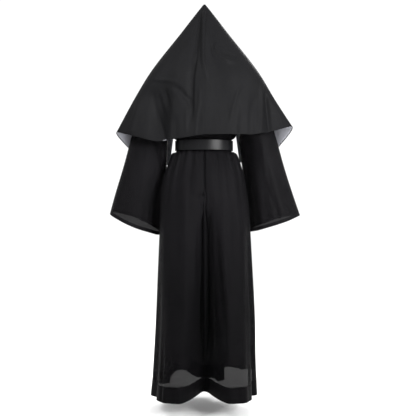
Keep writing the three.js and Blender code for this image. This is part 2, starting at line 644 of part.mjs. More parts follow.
// The veil's two halves as one sheet of points: from the left front edge round the back to the right front edge,
// with rows from the hem up to the point.
const veilPlace = (r, c) => ({
  level: VEIL_LEVELS[VEIL_LEVELS.length - 1 - r],
  round: (c - VEIL_COLUMNS) / VEIL_COLUMNS,
});
const veilPlain = makeGrid(VEIL_LEVELS.length, 2 * VEIL_COLUMNS + 1, (r, c) => {
  const { level, round } = veilPlace(r, c);
  return veilPoint(round < 0 ? -1 : 1, Math.abs(round), level);
});
const veilOuter = movedIn(veilPlain, gridNormals(veilPlain, false), (r, c) => {
  const { level, round } = veilPlace(r, c);
  return veilFold(round, level);
});
const veilNormal = gridNormals(veilOuter, false);

// One half of the veil or of its lining, between two depths under the veil's face, up to one of its rows.
function veilPanel(side, depthOut, depthIn, rows) {
  const firstColumn = side < 0 ? 0 : VEIL_COLUMNS;
  const layerAt = (depth) =>
    makeGrid(rows, VEIL_COLUMNS + 1, (r, c) => {
      const column = firstColumn + c;
      const point = veilOuter[r][column].clone().addScaledVector(veilNormal[r][column], -depth);
      if (side * point.x < SEAM_GAP / 2) point.x = (side * SEAM_GAP) / 2;
      return point;
    });
  return wallBetween(layerAt(depthOut), layerAt(depthIn), false);
}

const veilHalf = (side) => veilPanel(side, 0, VEIL_CLOTH, VEIL_LEVELS.length);

// The lining ends just below the point of the hood.
function liningHalf(side) {
  const depth = VEIL_CLOTH + SEAM_GAP;
  return veilPanel(side, depth, depth + LINING_CLOTH, VEIL_LEVELS.length - 2);
}

const costume = new THREE.Group();
costume.add(
  namedMesh("robe_front_upper", frontWalls.upper, BLACK, 0.75),
  namedMesh("robe_front_lower", frontWalls.lower, BLACK, 0.75),
  namedMesh("robe_back_left_upper", backLeftWalls.upper, BLACK, 0.75),
  namedMesh("robe_back_left_lower", backLeftWalls.lower, BLACK, 0.75),
  namedMesh("robe_back_right_upper", backRightWalls.upper, BLACK, 0.75),
  namedMesh("robe_back_right_lower", backRightWalls.lower, BLACK, 0.75),
  namedMesh("sleeve_left_upper", leftSleeve.upper, BLACK, 0.75),
  namedMesh("sleeve_left_lower", leftSleeve.lower, BLACK, 0.75),
  namedMesh("sleeve_right_upper", rightSleeve.upper, BLACK, 0.75),
  namedMesh("sleeve_right_lower", rightSleeve.lower, BLACK, 0.75),
  namedMesh("belt_strap", beltWall(), HIDE, 0.35),
  namedMesh("belt_keeper", keeperLoop(), HIDE, 0.35),
  namedMesh("belt_buckle", buckleFrame(), METAL, 0.3, 0.9),
  namedMesh("belt_prong", buckleProng(), METAL, 0.3, 0.9),
  namedMesh("veil_left", veilHalf(-1), BLACK, 0.75),
  namedMesh("veil_right", veilHalf(1), BLACK, 0.75),
  namedMesh("veil_lining_left", liningHalf(-1), PALE, 0.8),
  namedMesh("veil_lining_right", liningHalf(1), PALE, 0.8),
);

export default costume;
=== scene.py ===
"""Nun costume in its worn shape: belted robe with bell sleeves under a pointed, lined veil.

Every cloth piece is a thin shell on the form of its solid, with the soft creases that gravity, the belt and
the shoulders put into it. Tables are in millimetres and meshes in metres.
"""

from __future__ import annotations

import logging
import math
from dataclasses import dataclass
from enum import Enum
from typing import Callable, ClassVar, Sequence

import bmesh
import bpy
import numpy as np
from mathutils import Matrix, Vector
from mathutils.bvhtree import BVHTree
from mathutils.kdtree import KDTree


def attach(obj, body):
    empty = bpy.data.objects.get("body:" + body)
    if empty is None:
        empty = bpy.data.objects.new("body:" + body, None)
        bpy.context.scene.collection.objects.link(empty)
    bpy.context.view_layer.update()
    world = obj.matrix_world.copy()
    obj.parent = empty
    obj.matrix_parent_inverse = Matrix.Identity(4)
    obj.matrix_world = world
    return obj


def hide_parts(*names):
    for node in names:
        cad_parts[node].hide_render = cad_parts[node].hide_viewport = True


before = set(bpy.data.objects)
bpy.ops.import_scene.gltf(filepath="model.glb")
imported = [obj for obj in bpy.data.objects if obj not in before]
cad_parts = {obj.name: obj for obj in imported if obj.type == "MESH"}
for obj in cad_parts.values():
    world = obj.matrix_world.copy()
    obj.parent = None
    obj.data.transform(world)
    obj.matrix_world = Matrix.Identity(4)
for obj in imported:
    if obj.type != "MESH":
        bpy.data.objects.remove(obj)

LOG = logging.getLogger("costume")
MM = 0.001
Grid = bmesh.types.BMesh
Vert = bmesh.types.BMVert
Face = bmesh.types.BMFace
Stop = tuple[float, tuple[float, ...]]
Inputs = dict[int | str, object]


class Side(Enum):
    """The side of the costume that a crease lies on, seen square on."""

    BACK = -1.0
    FRONT = 1.0


class Held(Enum):
    """How a cloth piece is held."""

    HUNG = "hung"
    DRAPED = "draped"


# ---- Shader building.


class Signal:
    """A shader socket that takes part in plain arithmetic.

    Attributes:
        graph: the graph that the socket belongs to.
        socket: the output socket.
    """

    def __init__(self, graph: ShaderGraph, socket: bpy.types.NodeSocket) -> None:
        """Wrap a socket.

        Args:
            graph: the graph that new nodes go into.
            socket: the output socket to wrap.
        """
        self.graph = graph
        self.socket = socket

    def _math(self, operation: str, *inputs: Signal | float) -> Signal:
        """Add a Math node.

        Args:
            operation: the node's operation.
            inputs: its inputs, in order.

        Returns:
            The node's result.
        """
        return self.graph.add("ShaderNodeMath", {"operation": operation}, dict(enumerate(inputs)))

    def __add__(self, other: Signal | float) -> Signal:
        """Add."""
        return self._math("ADD", self, other)

    def __radd__(self, other: float) -> Signal:
        """Add to a number."""
        return self._math("ADD", other, self)

    def __sub__(self, other: Signal | float) -> Signal:
        """Subtract."""
        return self._math("SUBTRACT", self, other)

    def __rsub__(self, other: float) -> Signal:
        """Subtract from a number."""
        return self._math("SUBTRACT", other, self)

    def __mul__(self, other: Signal | float) -> Signal:
        """Multiply."""
        return self._math("MULTIPLY", self, other)

    def __rmul__(self, other: float) -> Signal:
        """Multiply a number."""
        return self._math("MULTIPLY", other, self)

    def sine(self) -> Signal:
        """Take the sine."""
        return self._math("SINE", self)

    def size(self) -> Signal:
        """Drop the sign."""
        return self._math("ABSOLUTE", self)

    def share(self, low: float, high: float) -> Signal:
        """Turn the range from low to high into 0 to 1.

        Args:
            low: the value that gives 0.
            high: the value that gives 1.

        Returns:
            The share, kept from 0 to 1.
        """
        inputs = {"Value": self, "From Min": low, "From Max": high}
        return self.graph.add("ShaderNodeMapRange", {"clamp": True}, inputs)


class ShaderGraph:
    """The node graph of one material."""

    def __init__(self, name: str) -> None:
        """Make an empty material.

        Args:
            name: the material's name.
        """
        self.material = bpy.data.materials.new(name)
        self.material.use_nodes = True
        self.tree = self.material.node_tree
        self.tree.nodes.clear()

    def node(self, kind: str, settings: dict[str, object], inputs: Inputs) -> bpy.types.Node:
        """Add a node, set it up and feed its sockets.

        Args:
            kind: the node's type.
            settings: properties that are set first; stops is a ramp's list of places and colours.
            inputs: values or signals for its sockets, by name or number.

        Returns:
            The node.
        """
        made = self.tree.nodes.new(kind)
        for key, value in settings.items():
            if key == "stops":
                for element, (place, colour) in zip(made.color_ramp.elements, value):
                    element.position = place
                    element.color = (*colour, 1.0)
            else:
                setattr(made, key, value)
        for key, value in inputs.items():
            if isinstance(value, Signal):
                self.tree.links.new(value.socket, made.inputs[key])
            else:
                made.inputs[key].default_value = value
        return made

    def add(
        self,
        kind: str,
        settings: dict[str, object],
        inputs: Inputs,
        output: int | str = 0,
    ) -> Signal:
        """Add a node and return one of its outputs.

        Args:
            kind: the node's type.
            settings: properties that are set first.
            inputs: values or signals for its sockets.
            output: which output to return.

        Returns:
            The output as a signal.
        """
        return Signal(self, self.node(kind, settings, inputs).outputs[output])

    def place(self, scale: tuple[float, float, float] = (1.0, 1.0, 1.0)) -> Signal:
        """Return the place on the object, stretched along each axis.

        Args:
            scale: the stretch along X, Y and Z.

        Returns:
            The place as a vector.
        """
        place = self.add("ShaderNodeTexCoord", {}, {}, "Object")
        return self.add("ShaderNodeMapping", {}, {"Vector": place, "Scale": scale})

    def noise(self, place: Signal, scale: float, detail: float = 3.0) -> Signal:
        """Return soft noise from 0 to 1.

        Args:
            place: where it is read.
            scale: repeats per metre.
            detail: octaves.

        Returns:
            The noise's value.
        """
        inputs = {"Vector": place, "Scale": scale, "Detail": detail}
        return self.add("ShaderNodeTexNoise", {}, inputs, "Fac")

    def ramp(self, value: Signal, low: Stop, high: Stop) -> Signal:
        """Turn a value into a colour between two.

        Args:
            value: the value.
            low: the lower place and its colour.
            high: the upper place and its colour.

        Returns:
            The colour.
        """
        return self.add("ShaderNodeValToRGB", {"stops": [low, high]}, {"Fac": value}, "Color")

    def bump(self, height: Signal, strength: float, distance: float) -> Signal:
        """Turn a height into a normal.

        Args:
            height: the height, from 0 to 1.
            strength: how much of it counts.
            distance: the height of 1, in metres.

        Returns:
            The normal.
        """
        inputs = {"Height": height, "Strength": strength, "Distance": distance}
        return self.add("ShaderNodeBump", {}, inputs)

    def finish(self, inputs: Inputs) -> bpy.types.Material:
        """Add the shader and close the graph.

        Args:
            inputs: constants and signals for the shader's own sockets.

        Returns:
            The finished material.
        """
        shader = self.node("ShaderNodeBsdfPrincipled", {}, inputs)
        output = self.node("ShaderNodeOutputMaterial", {}, {})
        self.tree.links.new(shader.outputs[0], output.inputs["Surface"])
        return self.material


# ---- Finishes.


@dataclass(frozen=True)
class WovenFinish:
    """A plain woven cloth.

    Attributes:
        name: the material's name.
        dark: colour in the weave's hollows.
        light: colour on the threads.
        roughness: the cloth's roughness.
        specular: how much it reflects.
        sheen: weight of the soft edge glow.
        thread: spacing of the threads in millimetres.
        turn_up: height of the turned-up hem in millimetres.
        cover: how much of the light one face of a single layer stops.
        painted_hem_shade: height in millimetres over which painted shade darkens the cloth towards its hem,
            standing in for the dimmer light low down, 0 for none.
    """

    name: str
    dark: tuple[float, float, float]
    light: tuple[float, float, float]
    roughness: float
    specular: float
    sheen: float
    thread: float
    turn_up: float
    cover: float = 1.0
    painted_hem_shade: float = 0.0

    def build(self) -> bpy.types.Material:
        """Build the material.

        Returns:
            The cloth's material.
        """
        graph = ShaderGraph(self.name)
        flat = graph.add("ShaderNodeUVMap", {"uv_map": "cut"}, {})
        parts = graph.node("ShaderNodeSeparateXYZ", {}, {"Vector": flat})
        across, along = (Signal(graph, parts.outputs[number]) for number in (0, 1))
        turns = 2 * math.pi / (self.thread * MM)
        weave = 0.5 + 0.25 * (across * turns).sine() + 0.25 * (along * turns).sine()
        drawn_out = graph.add("ShaderNodeMapping", {}, {"Vector": flat, "Scale": (1.0, 0.06, 1.0)})
        slub = graph.noise(drawn_out, 420.0, 2.0)
        cloudy = graph.noise(graph.place(), 7.0)
        wrinkled = graph.noise(graph.place((1.0, 1.0, 0.45)), 24.0, 2.0)
        hem = graph.add("ShaderNodeAttribute", {"attribute_name": "hem"}, {}, "Fac")
        stitched = self._stitches(hem, across)
        shade = 0.4 * cloudy + 0.35 * slub + 0.25 * weave + 0.3 * stitched
        groove = 1.0 - (hem - (self.turn_up - 3.0)).size().share(0.0, 3.0)
        height = 0.04 * weave + 0.03 * slub + 0.8 * wrinkled + 0.13 * stitched - 0.06 * groove
        # Painted shade: the base colour grows darker towards the hem, in place of the light that falls off
        # low on the cloth.
        if self.painted_hem_shade:
            shade = shade - 0.4 * (1.0 - hem.share(0.0, self.painted_hem_shade))
        linked = {
            "Base Color": graph.ramp(shade, (0.28, self.dark), (0.72, self.light)),
            "Roughness": self.roughness - 0.05 + 0.1 * cloudy,
            "Normal": graph.bump(height, 1.0, 0.003),
            "Specular IOR Level": self.specular,
            "Sheen Weight": self.sheen,
            "Sheen Roughness": 0.4,
        }
        if self.cover < 1.0:
            single = hem.share(self.turn_up - 0.5, self.turn_up + 0.5)
            linked["Alpha"] = 1.0 - (1.0 - self.cover) * single
        return graph.finish(linked)

    def _stitches(self, hem: Signal, across: Signal) -> Signal:
        """Run a row of stitches just under the upper edge of the turned-up hem.

        Args:
            hem: the distance from the hem in millimetres.
            across: the place across the cut in metres.

        Returns:
            1 on a stitch and 0 beside it.
        """
        away = (hem - (self.turn_up - 3.0)).size()
        dashes = (across * (2 * math.pi / (3.0 * MM))).sine().share(-0.3, 0.1)
        return dashes * (1.0 - away.share(0.25, 0.6))


@dataclass(frozen=True)
class HideFinish:
    """A smooth imitation leather with a fine grain.

    Attributes:
        name: the material's name.
        base: the colour of the hide.
        worn: the colour where the grain is rubbed.
        roughness: the roughness of the smooth face.
        grain: grain cells per metre.
    """

    name: str
    base: tuple[float, float, float]
    worn: tuple[float, float, float]
    roughness: float
    grain: float

    def build(self) -> bpy.types.Material:
        """Build the material.

        Returns:
            The leather's material.
        """
        graph = ShaderGraph(self.name)
        inputs = {"Vector": graph.place(), "Scale": self.grain}
        cells = graph.add("ShaderNodeTexVoronoi", {"feature": "DISTANCE_TO_EDGE"}, inputs, "Distance")
        cloudy = graph.noise(graph.place(), 30.0, 4.0)
        fine = graph.noise(graph.place(), 900.0, 2.0)
        return graph.finish(
            {
                "Base Color": graph.ramp(0.6 * cloudy + 0.4 * fine, (0.3, self.base), (0.75, self.worn)),
                "Roughness": self.roughness - 0.06 + 0.12 * cloudy,
                "Normal": graph.bump(0.8 * cells + 0.2 * fine, 0.25, 0.0003),
                "Specular IOR Level": 0.085,
            }
        )


@dataclass(frozen=True)
class MetalFinish:
    """A satin metal.

    Attributes:
        name: the material's name.
        base: its colour.
        roughness: its roughness.
    """

    name: str
    base: tuple[float, float, float]
    roughness: float

    def build(self) -> bpy.types.Material:
        """Build the material.

        Returns:
            The metal's material.
        """
        graph = ShaderGraph(self.name)
        brushed = graph.noise(graph.place((1.0, 1.0, 0.08)), 2500.0, 2.0)
        smudge = graph.noise(graph.place(), 80.0)
        dull = tuple(0.75 * part for part in self.base)
        return graph.finish(
            {
                "Base Color": graph.ramp(smudge, (0.3, dull), (0.7, self.base)),
                "Roughness": self.roughness - 0.06 + 0.08 * brushed + 0.08 * smudge,
                "Normal": graph.bump(brushed, 0.1, 0.0001),
                "Metallic": 1.0,
            }
        )


ROBE_BLACKS = (0.0012, 0.0011, 0.0014), (0.0046, 0.0043, 0.0051)
VEIL_BLACKS = (0.0022, 0.0022, 0.0025), (0.0042, 0.0042, 0.0047)
LINING_PALES = (0.47, 0.475, 0.52), (0.55, 0.555, 0.6)
# The robe's cloth has painted shade that darkens it over the lowest 700 mm above its hem.
ROBE_CLOTH = WovenFinish("robe_cloth", *ROBE_BLACKS, 0.64, 0.03, 0.01, 1.0, 62.0, 0.84, 700.0)
SLEEVE_CLOTH = WovenFinish("sleeve_cloth", *ROBE_BLACKS, 0.62, 0.04, 0.01, 1.0, 15.0, 0.84)
VEIL_CLOTH = WovenFinish("veil_cloth", *VEIL_BLACKS, 0.6, 0.045, 0.01, 1.0, 12.0)
LINING_CLOTH = WovenFinish("lining_cloth", *LINING_PALES, 0.6, 0.3, 0.05, 0.9, 12.0)
BELT_HIDE = HideFinish("belt_hide", (0.003, 0.003, 0.0034), (0.006, 0.006, 0.0066), 0.3, 900.0)
BUCKLE_METAL = MetalFinish("buckle_metal", (0.46, 0.47, 0.49), 0.28)


# ---- Creases.


def smooth(share: np.ndarray) -> np.ndarray:
    """Ease from 0 to 1.

    Args:
        share: the plain shares, kept from 0 to 1.

    Returns:
        The eased shares.
    """
    kept = np.clip(share, 0.0, 1.0)
    return kept * kept * (3.0 - 2.0 * kept)


@dataclass(frozen=True)
class Crease:
    """One soft crease of the cloth, seen square on from its side.

    Attributes:
        line: the points that it follows, across and up, in millimetres.
        width: the whole width of the trough or ridge.
        depth: how far the cloth falls in; a negative depth stands out.
        fade: the shares of its length over which it begins and ends.
        side: the side of the costume that it lies on.
        lean: from -1 to 1, which flank is steeper.
    """

    line: tuple[tuple[float, float], ...]
    width: float
    depth: float
    fade: tuple[float, float]
    side: Side
    lean: float = 0.0

    FACING_GAIN: ClassVar[float] = 2.5

    def press(self, places: np.ndarray, facing: np.ndarray) -> np.ndarray:
        """Work out how far it presses each point inwards.

        Args:
            places: the points in millimetres, one row each.
            facing: how far each point's surface faces the front, from -1 to 1.

        Returns:
            The depth at each point, in millimetres.
        """
        flat = places[:, [0, 2]]
        points = np.array(self.line, dtype=float)
        steps = np.diff(points, axis=0)
        lengths = np.hypot(steps[:, 0], steps[:, 1])
        begun = np.concatenate([[0.0], np.cumsum(lengths)])
        nearest = np.full(len(flat), 1e9)
        across = np.zeros(len(flat))
        along = np.zeros(len(flat))
        for start, step, length, done in zip(points, steps, lengths, begun):
            offset = flat - start
            share = np.clip(offset @ step / length**2, 0.0, 1.0)
            away = offset - share[:, None] * step
            distance = np.hypot(away[:, 0], away[:, 1])
            closer = distance < nearest
            sign = np.sign(offset @ np.array([-step[1], step[0]]))
            across = np.where(closer, distance * sign, across)
            along = np.where(closer, (done + share * length) / begun[-1], along)
            nearest = np.where(closer, distance, nearest)
        flank = np.where(across > 0, 1.0 + self.lean, 1.0 - self.lean) * self.width / 2
        profile = np.cos(np.clip(nearest / flank, 0.0, 1.0) * math.pi / 2) ** 2
        begin, end = self.fade
        swell = smooth(along / begin) if begin else 1.0
        swell = swell * (smooth((1.0 - along) / end) if end else 1.0)
        return self.depth * profile * swell * smooth(facing * self.side.value * self.FACING_GAIN)


def lay_creases(back: tuple[tuple, ...], front: tuple[tuple, ...]) -> list[Crease]:
    """Make the creases of both sides from their tables.

    Args:
        back: the back's rows, each a line, a width, a depth, a fade and at times a lean.
        front: the front's rows.

    Returns:
        The creases, the back's first.
    """
    sides = ((Side.BACK, back), (Side.FRONT, front))
    return [Crease(*row[:4], side, *row[4:]) for side, rows in sides for row in rows]


# ---- Cloth.


def tree_of(places: Sequence[Vector | np.ndarray]) -> KDTree:
    """Make a search tree.

    Args:
        places: the places that it finds, by their order.

    Returns:
        The tree.
    """
    tree = KDTree(len(places))
    for number, place in enumerate(places):
        tree.insert(place, number)
    tree.balance()
    return tree


@dataclass(frozen=True)
class ClothPanel:
    """One cut piece of cloth.

    Attributes:
        name: the piece's name.
        nodes: the solids that it stands for.
        flat: width and length of the cut that shows, in metres; not used.
        area: the cut's flat area, in square metres; not used.
        held: how the cloth is held; not used.
        rests_on: the solid that it hangs from or lies on; not used.
    """

    name: str
    nodes: tuple[str, ...]
    flat: tuple[float, float]
    area: float
    held: Held
    rests_on: str


def halves(name: str) -> tuple[str, str]:
    """Name the two solids that one cut piece is parted into.

    Args:
        name: the piece's name.

    Returns:
        The names of its upper and its lower solid.
    """
    return f"{name}_upper", f"{name}_lower"


@dataclass(frozen=True)
class ClothMake:
    """How a sheet is made up.

    Attributes:
        cloth: the thickness of one layer in millimetres.
        doubled: the thickness at the turned-up hem.
        turn_up: the height of the turned-up hem.
        levels: how finely the sheet is divided.
        hem_at: tells whether a border point, in metres, is on a hem.
        material: the cloth's material.
        slot: a name for the material slot; not used.
    """

    cloth: float
    doubled: float
    turn_up: float
    levels: int
    hem_at: Callable[[Vector], bool]
    material: bpy.types.Material
    slot: str


class ClothSheet:
    """The outer faces of neighbouring cloth solids, joined at their seams while they are shaped.

    Attributes:
        panels: the panels.
        make: how the sheet is made up.
        data: its mesh.
        before: the points before they are moved, in millimetres.
        moves: how far each has moved since.
    """

    SAME_POINT = 0.01 * MM
    THICKEST = 6 * MM
    RAY_START = 0.1 * MM
    FLAT_TURN = math.radians(60)
    RIM_TURN = math.radians(80)
    SLIVER_TURN = math.radians(25)
    SEAM_REACH = 1.6 * MM
    POINT_HEIGHT = 209.4 * MM
    POINT_REACH = 1.5 * MM
    TALL_EDGE = 16 * MM
    EDGE_TURN = math.radians(60)
    EDGE_ROUNDING = 0.35
    OPPOSITE = -0.5
    UPRIGHT = 0.8
    LIFT_REACH = 3
    SAME_WAY = 0.3
    NEIGHBOURS = 4
    NEARNESS = 0.5
    BACKED_BELOW = -150.0
    BACKED_EASE = 80.0
    BACKED_BAND = 14.0
    HEM_EASE = 8.0

    def __init__(self, panels: tuple[ClothPanel, ...], make: ClothMake) -> None:
        """Take the outer faces of the panels' solids and join them.

        Args:
            panels: the panels.
            make: how the sheet is made up.
        """
        self.panels = panels
        self.make = make
        mesh = bmesh.new()
        for number, panel in enumerate(panels):
            for node in panel.nodes:
                self._take(mesh, node, number)
        tip = [vert for vert in mesh.verts if vert.co.z > self.POINT_HEIGHT]
        bmesh.ops.remove_doubles(mesh, verts=tip, dist=self.POINT_REACH)
        self.data = bpy.data.meshes.new("sheet")
        mesh.to_mesh(self.data)
        mesh.free()
        self._start_moves()

    def _start_moves(self) -> None:
        """Note where the points are, so that their moves count from there."""
        self.before = self.points()
        self.moves = np.zeros_like(self.before)

    def _take(self, mesh: Grid, node: str, number: int) -> None:
        """Add one solid's outer faces to a mesh.

        Args:
            mesh: the mesh that grows.
            node: the solid.
            number: the number that marks its faces.
        """
        wall = bmesh.new()
        wall.from_mesh(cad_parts[node].data)
        bmesh.ops.remove_doubles(wall, verts=wall.verts[:], dist=self.SAME_POINT)
        outer = self._outer_faces(wall)
        bmesh.ops.delete(wall, geom=[face for face in wall.faces if face not in outer], context="FACES")
        bmesh.ops.join_triangles(
            wall,
            faces=wall.faces[:],
            angle_face_threshold=self.FLAT_TURN,
            angle_shape_threshold=math.pi,
        )
        for face in wall.faces:
            face.material_index = number
        scratch = bpy.data.meshes.new("scratch")
        wall.to_mesh(scratch)
        wall.free()
        rims = [vert for vert in mesh.verts if vert.is_boundary]
        count = len(mesh.verts)
        mesh.from_mesh(scratch)
        bpy.data.meshes.remove(scratch)
        mesh.verts.ensure_lookup_table()
        self._sew(mesh, rims, [vert for vert in mesh.verts[count:] if vert.is_boundary])

    def _sew(self, mesh: Grid, rims: list[Vert], edge: list[Vert]) -> None:
        """Join a new panel's border to the borders that it lies against.

        Args:
            mesh: the sheet.
            rims: the border points of the panels that are there already.
            edge: the border points of the new panel.
        """
        if not rims:
            return
        tree = tree_of([vert.co for vert in rims])
        pairs = []
        for place, vert in enumerate(edge):
            found = tree.find_range(vert.co, self.SEAM_REACH)
            pairs.extend((distance, place, number) for _, number, distance in found)
        joined = {}
        taken = set()
        for _, place, number in sorted(pairs):
            if edge[place] not in joined and number not in taken:
                joined[edge[place]] = rims[number]
                taken.add(number)
        bmesh.ops.weld_verts(mesh, targetmap=joined)

    def _outer_faces(self, wall: Grid) -> set[Face]:
        """Find the faces of a wall's outer side.

        Args:
            wall: the closed wall.

        Returns:
            The outer faces.
        """
        tree = BVHTree.FromBMesh(wall)
        unseen = set()
        for face in wall.faces:
            start = face.calc_center_median() - face.normal * self.RAY_START
            _, normal, _, _ = tree.ray_cast(start, -face.normal, self.THICKEST)
            if normal is not None and normal.dot(face.normal) < self.OPPOSITE:
                unseen.add(face)
        groups = []
        while unseen:
            group = {unseen.pop()}
            front = list(group)
            while front:
                for edge in front.pop().edges:
                    for other in edge.link_faces:
                        if other in unseen and edge.calc_face_angle(0.0) < self.RIM_TURN:
                            unseen.discard(other)
                            group.add(other)
                            front.append(other)
            groups.append(group)
        groups.sort(key=lambda group: -sum(face.calc_area() for face in group))
        outer = max(groups[:2], key=self._outwardness)
        front = list(outer)
        while front:
            for edge in front.pop().edges:
                for other in edge.link_faces:
                    if other not in outer and edge.calc_face_angle(math.pi) < self.SLIVER_TURN:
                        outer.add(other)
                        front.append(other)
        return outer

    @staticmethod
    def _outwardness(group: set[Face]) -> float:
        """Measure how far a group of faces points away from the upright axis.

        Args:
            group: the faces.

        Returns:
            A sum that is positive for an outer side.
        """
        total = 0.0
        for face in group:
            centre = face.calc_center_median()
            total += face.calc_area() * (centre.x * face.normal.x + centre.y * face.normal.y)
        return total

    def _object(self) -> bpy.types.Object:
        """Put the sheet's mesh in a passing object.

        Returns:
            The object, linked and active.
        """
        obj = bpy.data.objects.new("sheet", self.data)
        bpy.context.scene.collection.objects.link(obj)
        bpy.context.view_layer.objects.active = obj
        obj.select_set(True)
        return obj

    def flatten(self, middle: tuple[float, float]) -> None:
        """Give each face its place on the flat cut, so that the weave keeps its true scale.

        Args:
            middle: the direction, across and forwards, in which the cut's middle lies.
        """
        points = self.points() * MM
        steps = np.linspace(points[:, 2].min(), points[:, 2].max(), 25)
        near = np.exp(-(((points[None, :, 2] - steps[:, None]) / (steps[1] - steps[0])) ** 2))
        near /= near.sum(axis=1)[:, None]
        centres = near @ points[:, :2]
        axis = [np.interp(points[:, 2], steps, part) for part in centres.T]
        around = points[:, :2] - np.stack(axis, axis=1)
        radii = np.interp(points[:, 2], steps, near @ np.hypot(*around.T))
        angles = np.arctan2(*around.T) - math.atan2(*middle)
        flat = self.data.uv_layers.new(name="cut").data
        for face in self.data.polygons:
            corners = list(face.vertices)
            facing = math.atan2(np.sin(angles[corners]).mean(), np.cos(angles[corners]).mean())
            for loop, corner in zip(face.loop_indices, corners):
                turn = facing + math.remainder(angles[corner] - facing, 2 * math.pi)
                flat[loop].uv = turn * radii[corner], points[corner, 2]

    def refine(self) -> None:
        """Divide the sheet into a smooth one that still passes through its own points."""
        goal = self.points()
        guide = goal.copy()
        obj = self._object()
        divide = obj.modifiers.new("divide", "SUBSURF")
        divide.levels = divide.render_levels = self.make.levels
        divide.boundary_smooth = "PRESERVE_CORNERS"
        for _ in range(3):
            reached = np.array([vert.co[:] for vert in self._evaluated(obj).vertices[: len(goal)]])
            guide += goal - reached / MM
            self.data.vertices.foreach_set("co", (guide * MM).ravel())
            self.data.update()
            bpy.context.view_layer.update()
        fine = bpy.data.meshes.new_from_object(obj.evaluated_get(bpy.context.evaluated_depsgraph_get()))
        bpy.data.objects.remove(obj)
        bpy.data.meshes.remove(self.data)
        self.data = fine
        self._start_moves()

    def add_rows(self) -> None:
        """Divide long upright edges, finer on the back, so that slanting creases stay smooth."""
        mesh = bmesh.new()
        mesh.from_mesh(self.data)
        for cuts, back in ((2, True), (1, False)):
            tall = []
            for edge in mesh.edges:
                start, end = (vert.co for vert in edge.verts)
                rise = abs(start.z - end.z)
                upright = rise > self.TALL_EDGE and rise > self.UPRIGHT * edge.calc_length()
                if upright and (start.y + end.y < 0.0) == back:
                    tall.append(edge)
            bmesh.ops.subdivide_edges(mesh, edges=tall, cuts=cuts, use_grid_fill=True)
        mesh.to_mesh(self.data)
        mesh.free()
        self._start_moves()

    @staticmethod
    def _evaluated(obj: bpy.types.Object) -> bpy.types.Mesh:
        """Return an object's mesh with its modifiers."""
        return obj.evaluated_get(bpy.context.evaluated_depsgraph_get()).data

    def points(self) -> np.ndarray:
        """Return the points in millimetres, one row each."""
        flat = np.zeros(3 * len(self.data.vertices), dtype=np.float32)
        self.data.vertices.foreach_get("co", flat)
        return flat.reshape(-1, 3).astype(float) / MM

    def normals(self) -> np.ndarray:
        """Return the points' outward normals, one row each."""
        return np.array([entry.vector[:] for entry in self.data.vertex_normals])

    def move(self, steps: np.ndarray) -> None:
        """Move every point.

        Args:
            steps: the moves in millimetres, one row each.
        """
        moved = self.points() + steps
        self.moves = moved - self.before
        self.data.vertices.foreach_set("co", (moved * MM).astype(np.float32).ravel())
        self.data.update()

    def crease(self, creases: list[Crease]) -> None:
        """Press soft creases into the sheet.

        Args:
            creases: the creases.
        """
        points = self.points()
        normals = self.normals()
        depth = sum(crease.press(points, normals[:, 1]) for crease in creases)
        self.move(-normals * depth[:, None])

    def rest_on(self, under: tuple[bpy.types.Object, ...], clearance: float) -> None:
        """Lift the sheet where it would lie in the cloth under it.

        Args:
            under: the cloth pieces under it.
            clearance: the least distance from their outer faces, in millimetres.
        """
        graph = bpy.context.evaluated_depsgraph_get()
        points = self.points()
        outwards = self.normals()
        lift = np.zeros(len(points))
        reach = (self.LIFT_REACH + 1) * clearance
        for obj in under:
            tree = BVHTree.FromObject(obj, graph)
            for number, (point, out) in enumerate(zip(points, outwards)):
                start = Vector((point + self.LIFT_REACH * clearance * out) * MM)
                _, normal, _, distance = tree.ray_cast(start, Vector(-out), reach * MM)
                if normal is not None and normal.dot(Vector(out)) > self.SAME_WAY:
                    lift[number] = max(lift[number], reach - distance / MM)
        self.move(outwards * lift[:, None])

    def follow(self, leader: ClothSheet, inwards: float) -> None:
        """Move as another sheet has moved, and lie a little further in.

        Args:
            leader: the sheet that this one backs.
            inwards: how far in this one moves besides, in millimetres.
        """
        tree = tree_of(leader.before)
        steps = -inwards * self.normals()
        for number, place in enumerate(self.points()):
            near = tree.find_n(place, self.NEIGHBOURS)
            weights = np.array([1.0 / (distance + self.NEARNESS) for _, _, distance in near])
            moves = np.array([leader.moves[found] for _, found, _ in near])
            steps[number] += weights @ moves / weights.sum()
        self.move(steps)

    def mark_hem(self) -> None:
        """Store each point's distance from the hem, in millimetres."""
        mesh = bmesh.new()
        mesh.from_mesh(self.data)
        spots = []
        for edge in mesh.edges:
            start, end = (vert.co for vert in edge.verts)
            if edge.is_boundary and self.make.hem_at(start) and self.make.hem_at(end):
                spots.extend(start.lerp(end, share) for share in (0.0, 0.25, 0.5, 0.75, 1.0))
        mesh.free()
        tree = tree_of(spots)
        distances = [tree.find(vert.co)[2] / MM for vert in self.data.vertices]
        self.data.attributes.new("hem", "FLOAT", "POINT").data.foreach_set("value", distances)

    def set_back(self, rise: float) -> None:
        """Raise the lower edge, so that it lies a little above the edge of the sheet that it backs.

        Args:
            rise: how far it is raised, in millimetres.
        """
        hem = np.zeros(len(self.data.vertices))
        self.data.attributes["hem"].data.foreach_get("value", hem)
        steps = np.zeros((len(hem), 3))
        low = smooth((self.BACKED_BELOW - self.points()[:, 2]) / self.BACKED_EASE)
        steps[:, 2] = rise * smooth((self.BACKED_BAND - hem) / self.BACKED_BAND) * low
        self.move(steps)

    def pieces(self) -> list[bpy.types.Object]:
        """Part the sheet at its seams and make each panel a cloth piece.

        Returns:
            The pieces.
        """
        made = []
        for number, panel in enumerate(self.panels):
            mesh = bmesh.new()
            mesh.from_mesh(self.data)
            drop = [face for face in mesh.faces if face.material_index != number]
            bmesh.ops.delete(mesh, geom=drop, context="FACES")
            obj = make_piece(panel.name, mesh, self.make.material, panel.nodes)
            self._thicken(obj)
            LOG.info("%s: %d faces", obj.name, len(obj.data.polygons))
            made.append(obj)
        return made

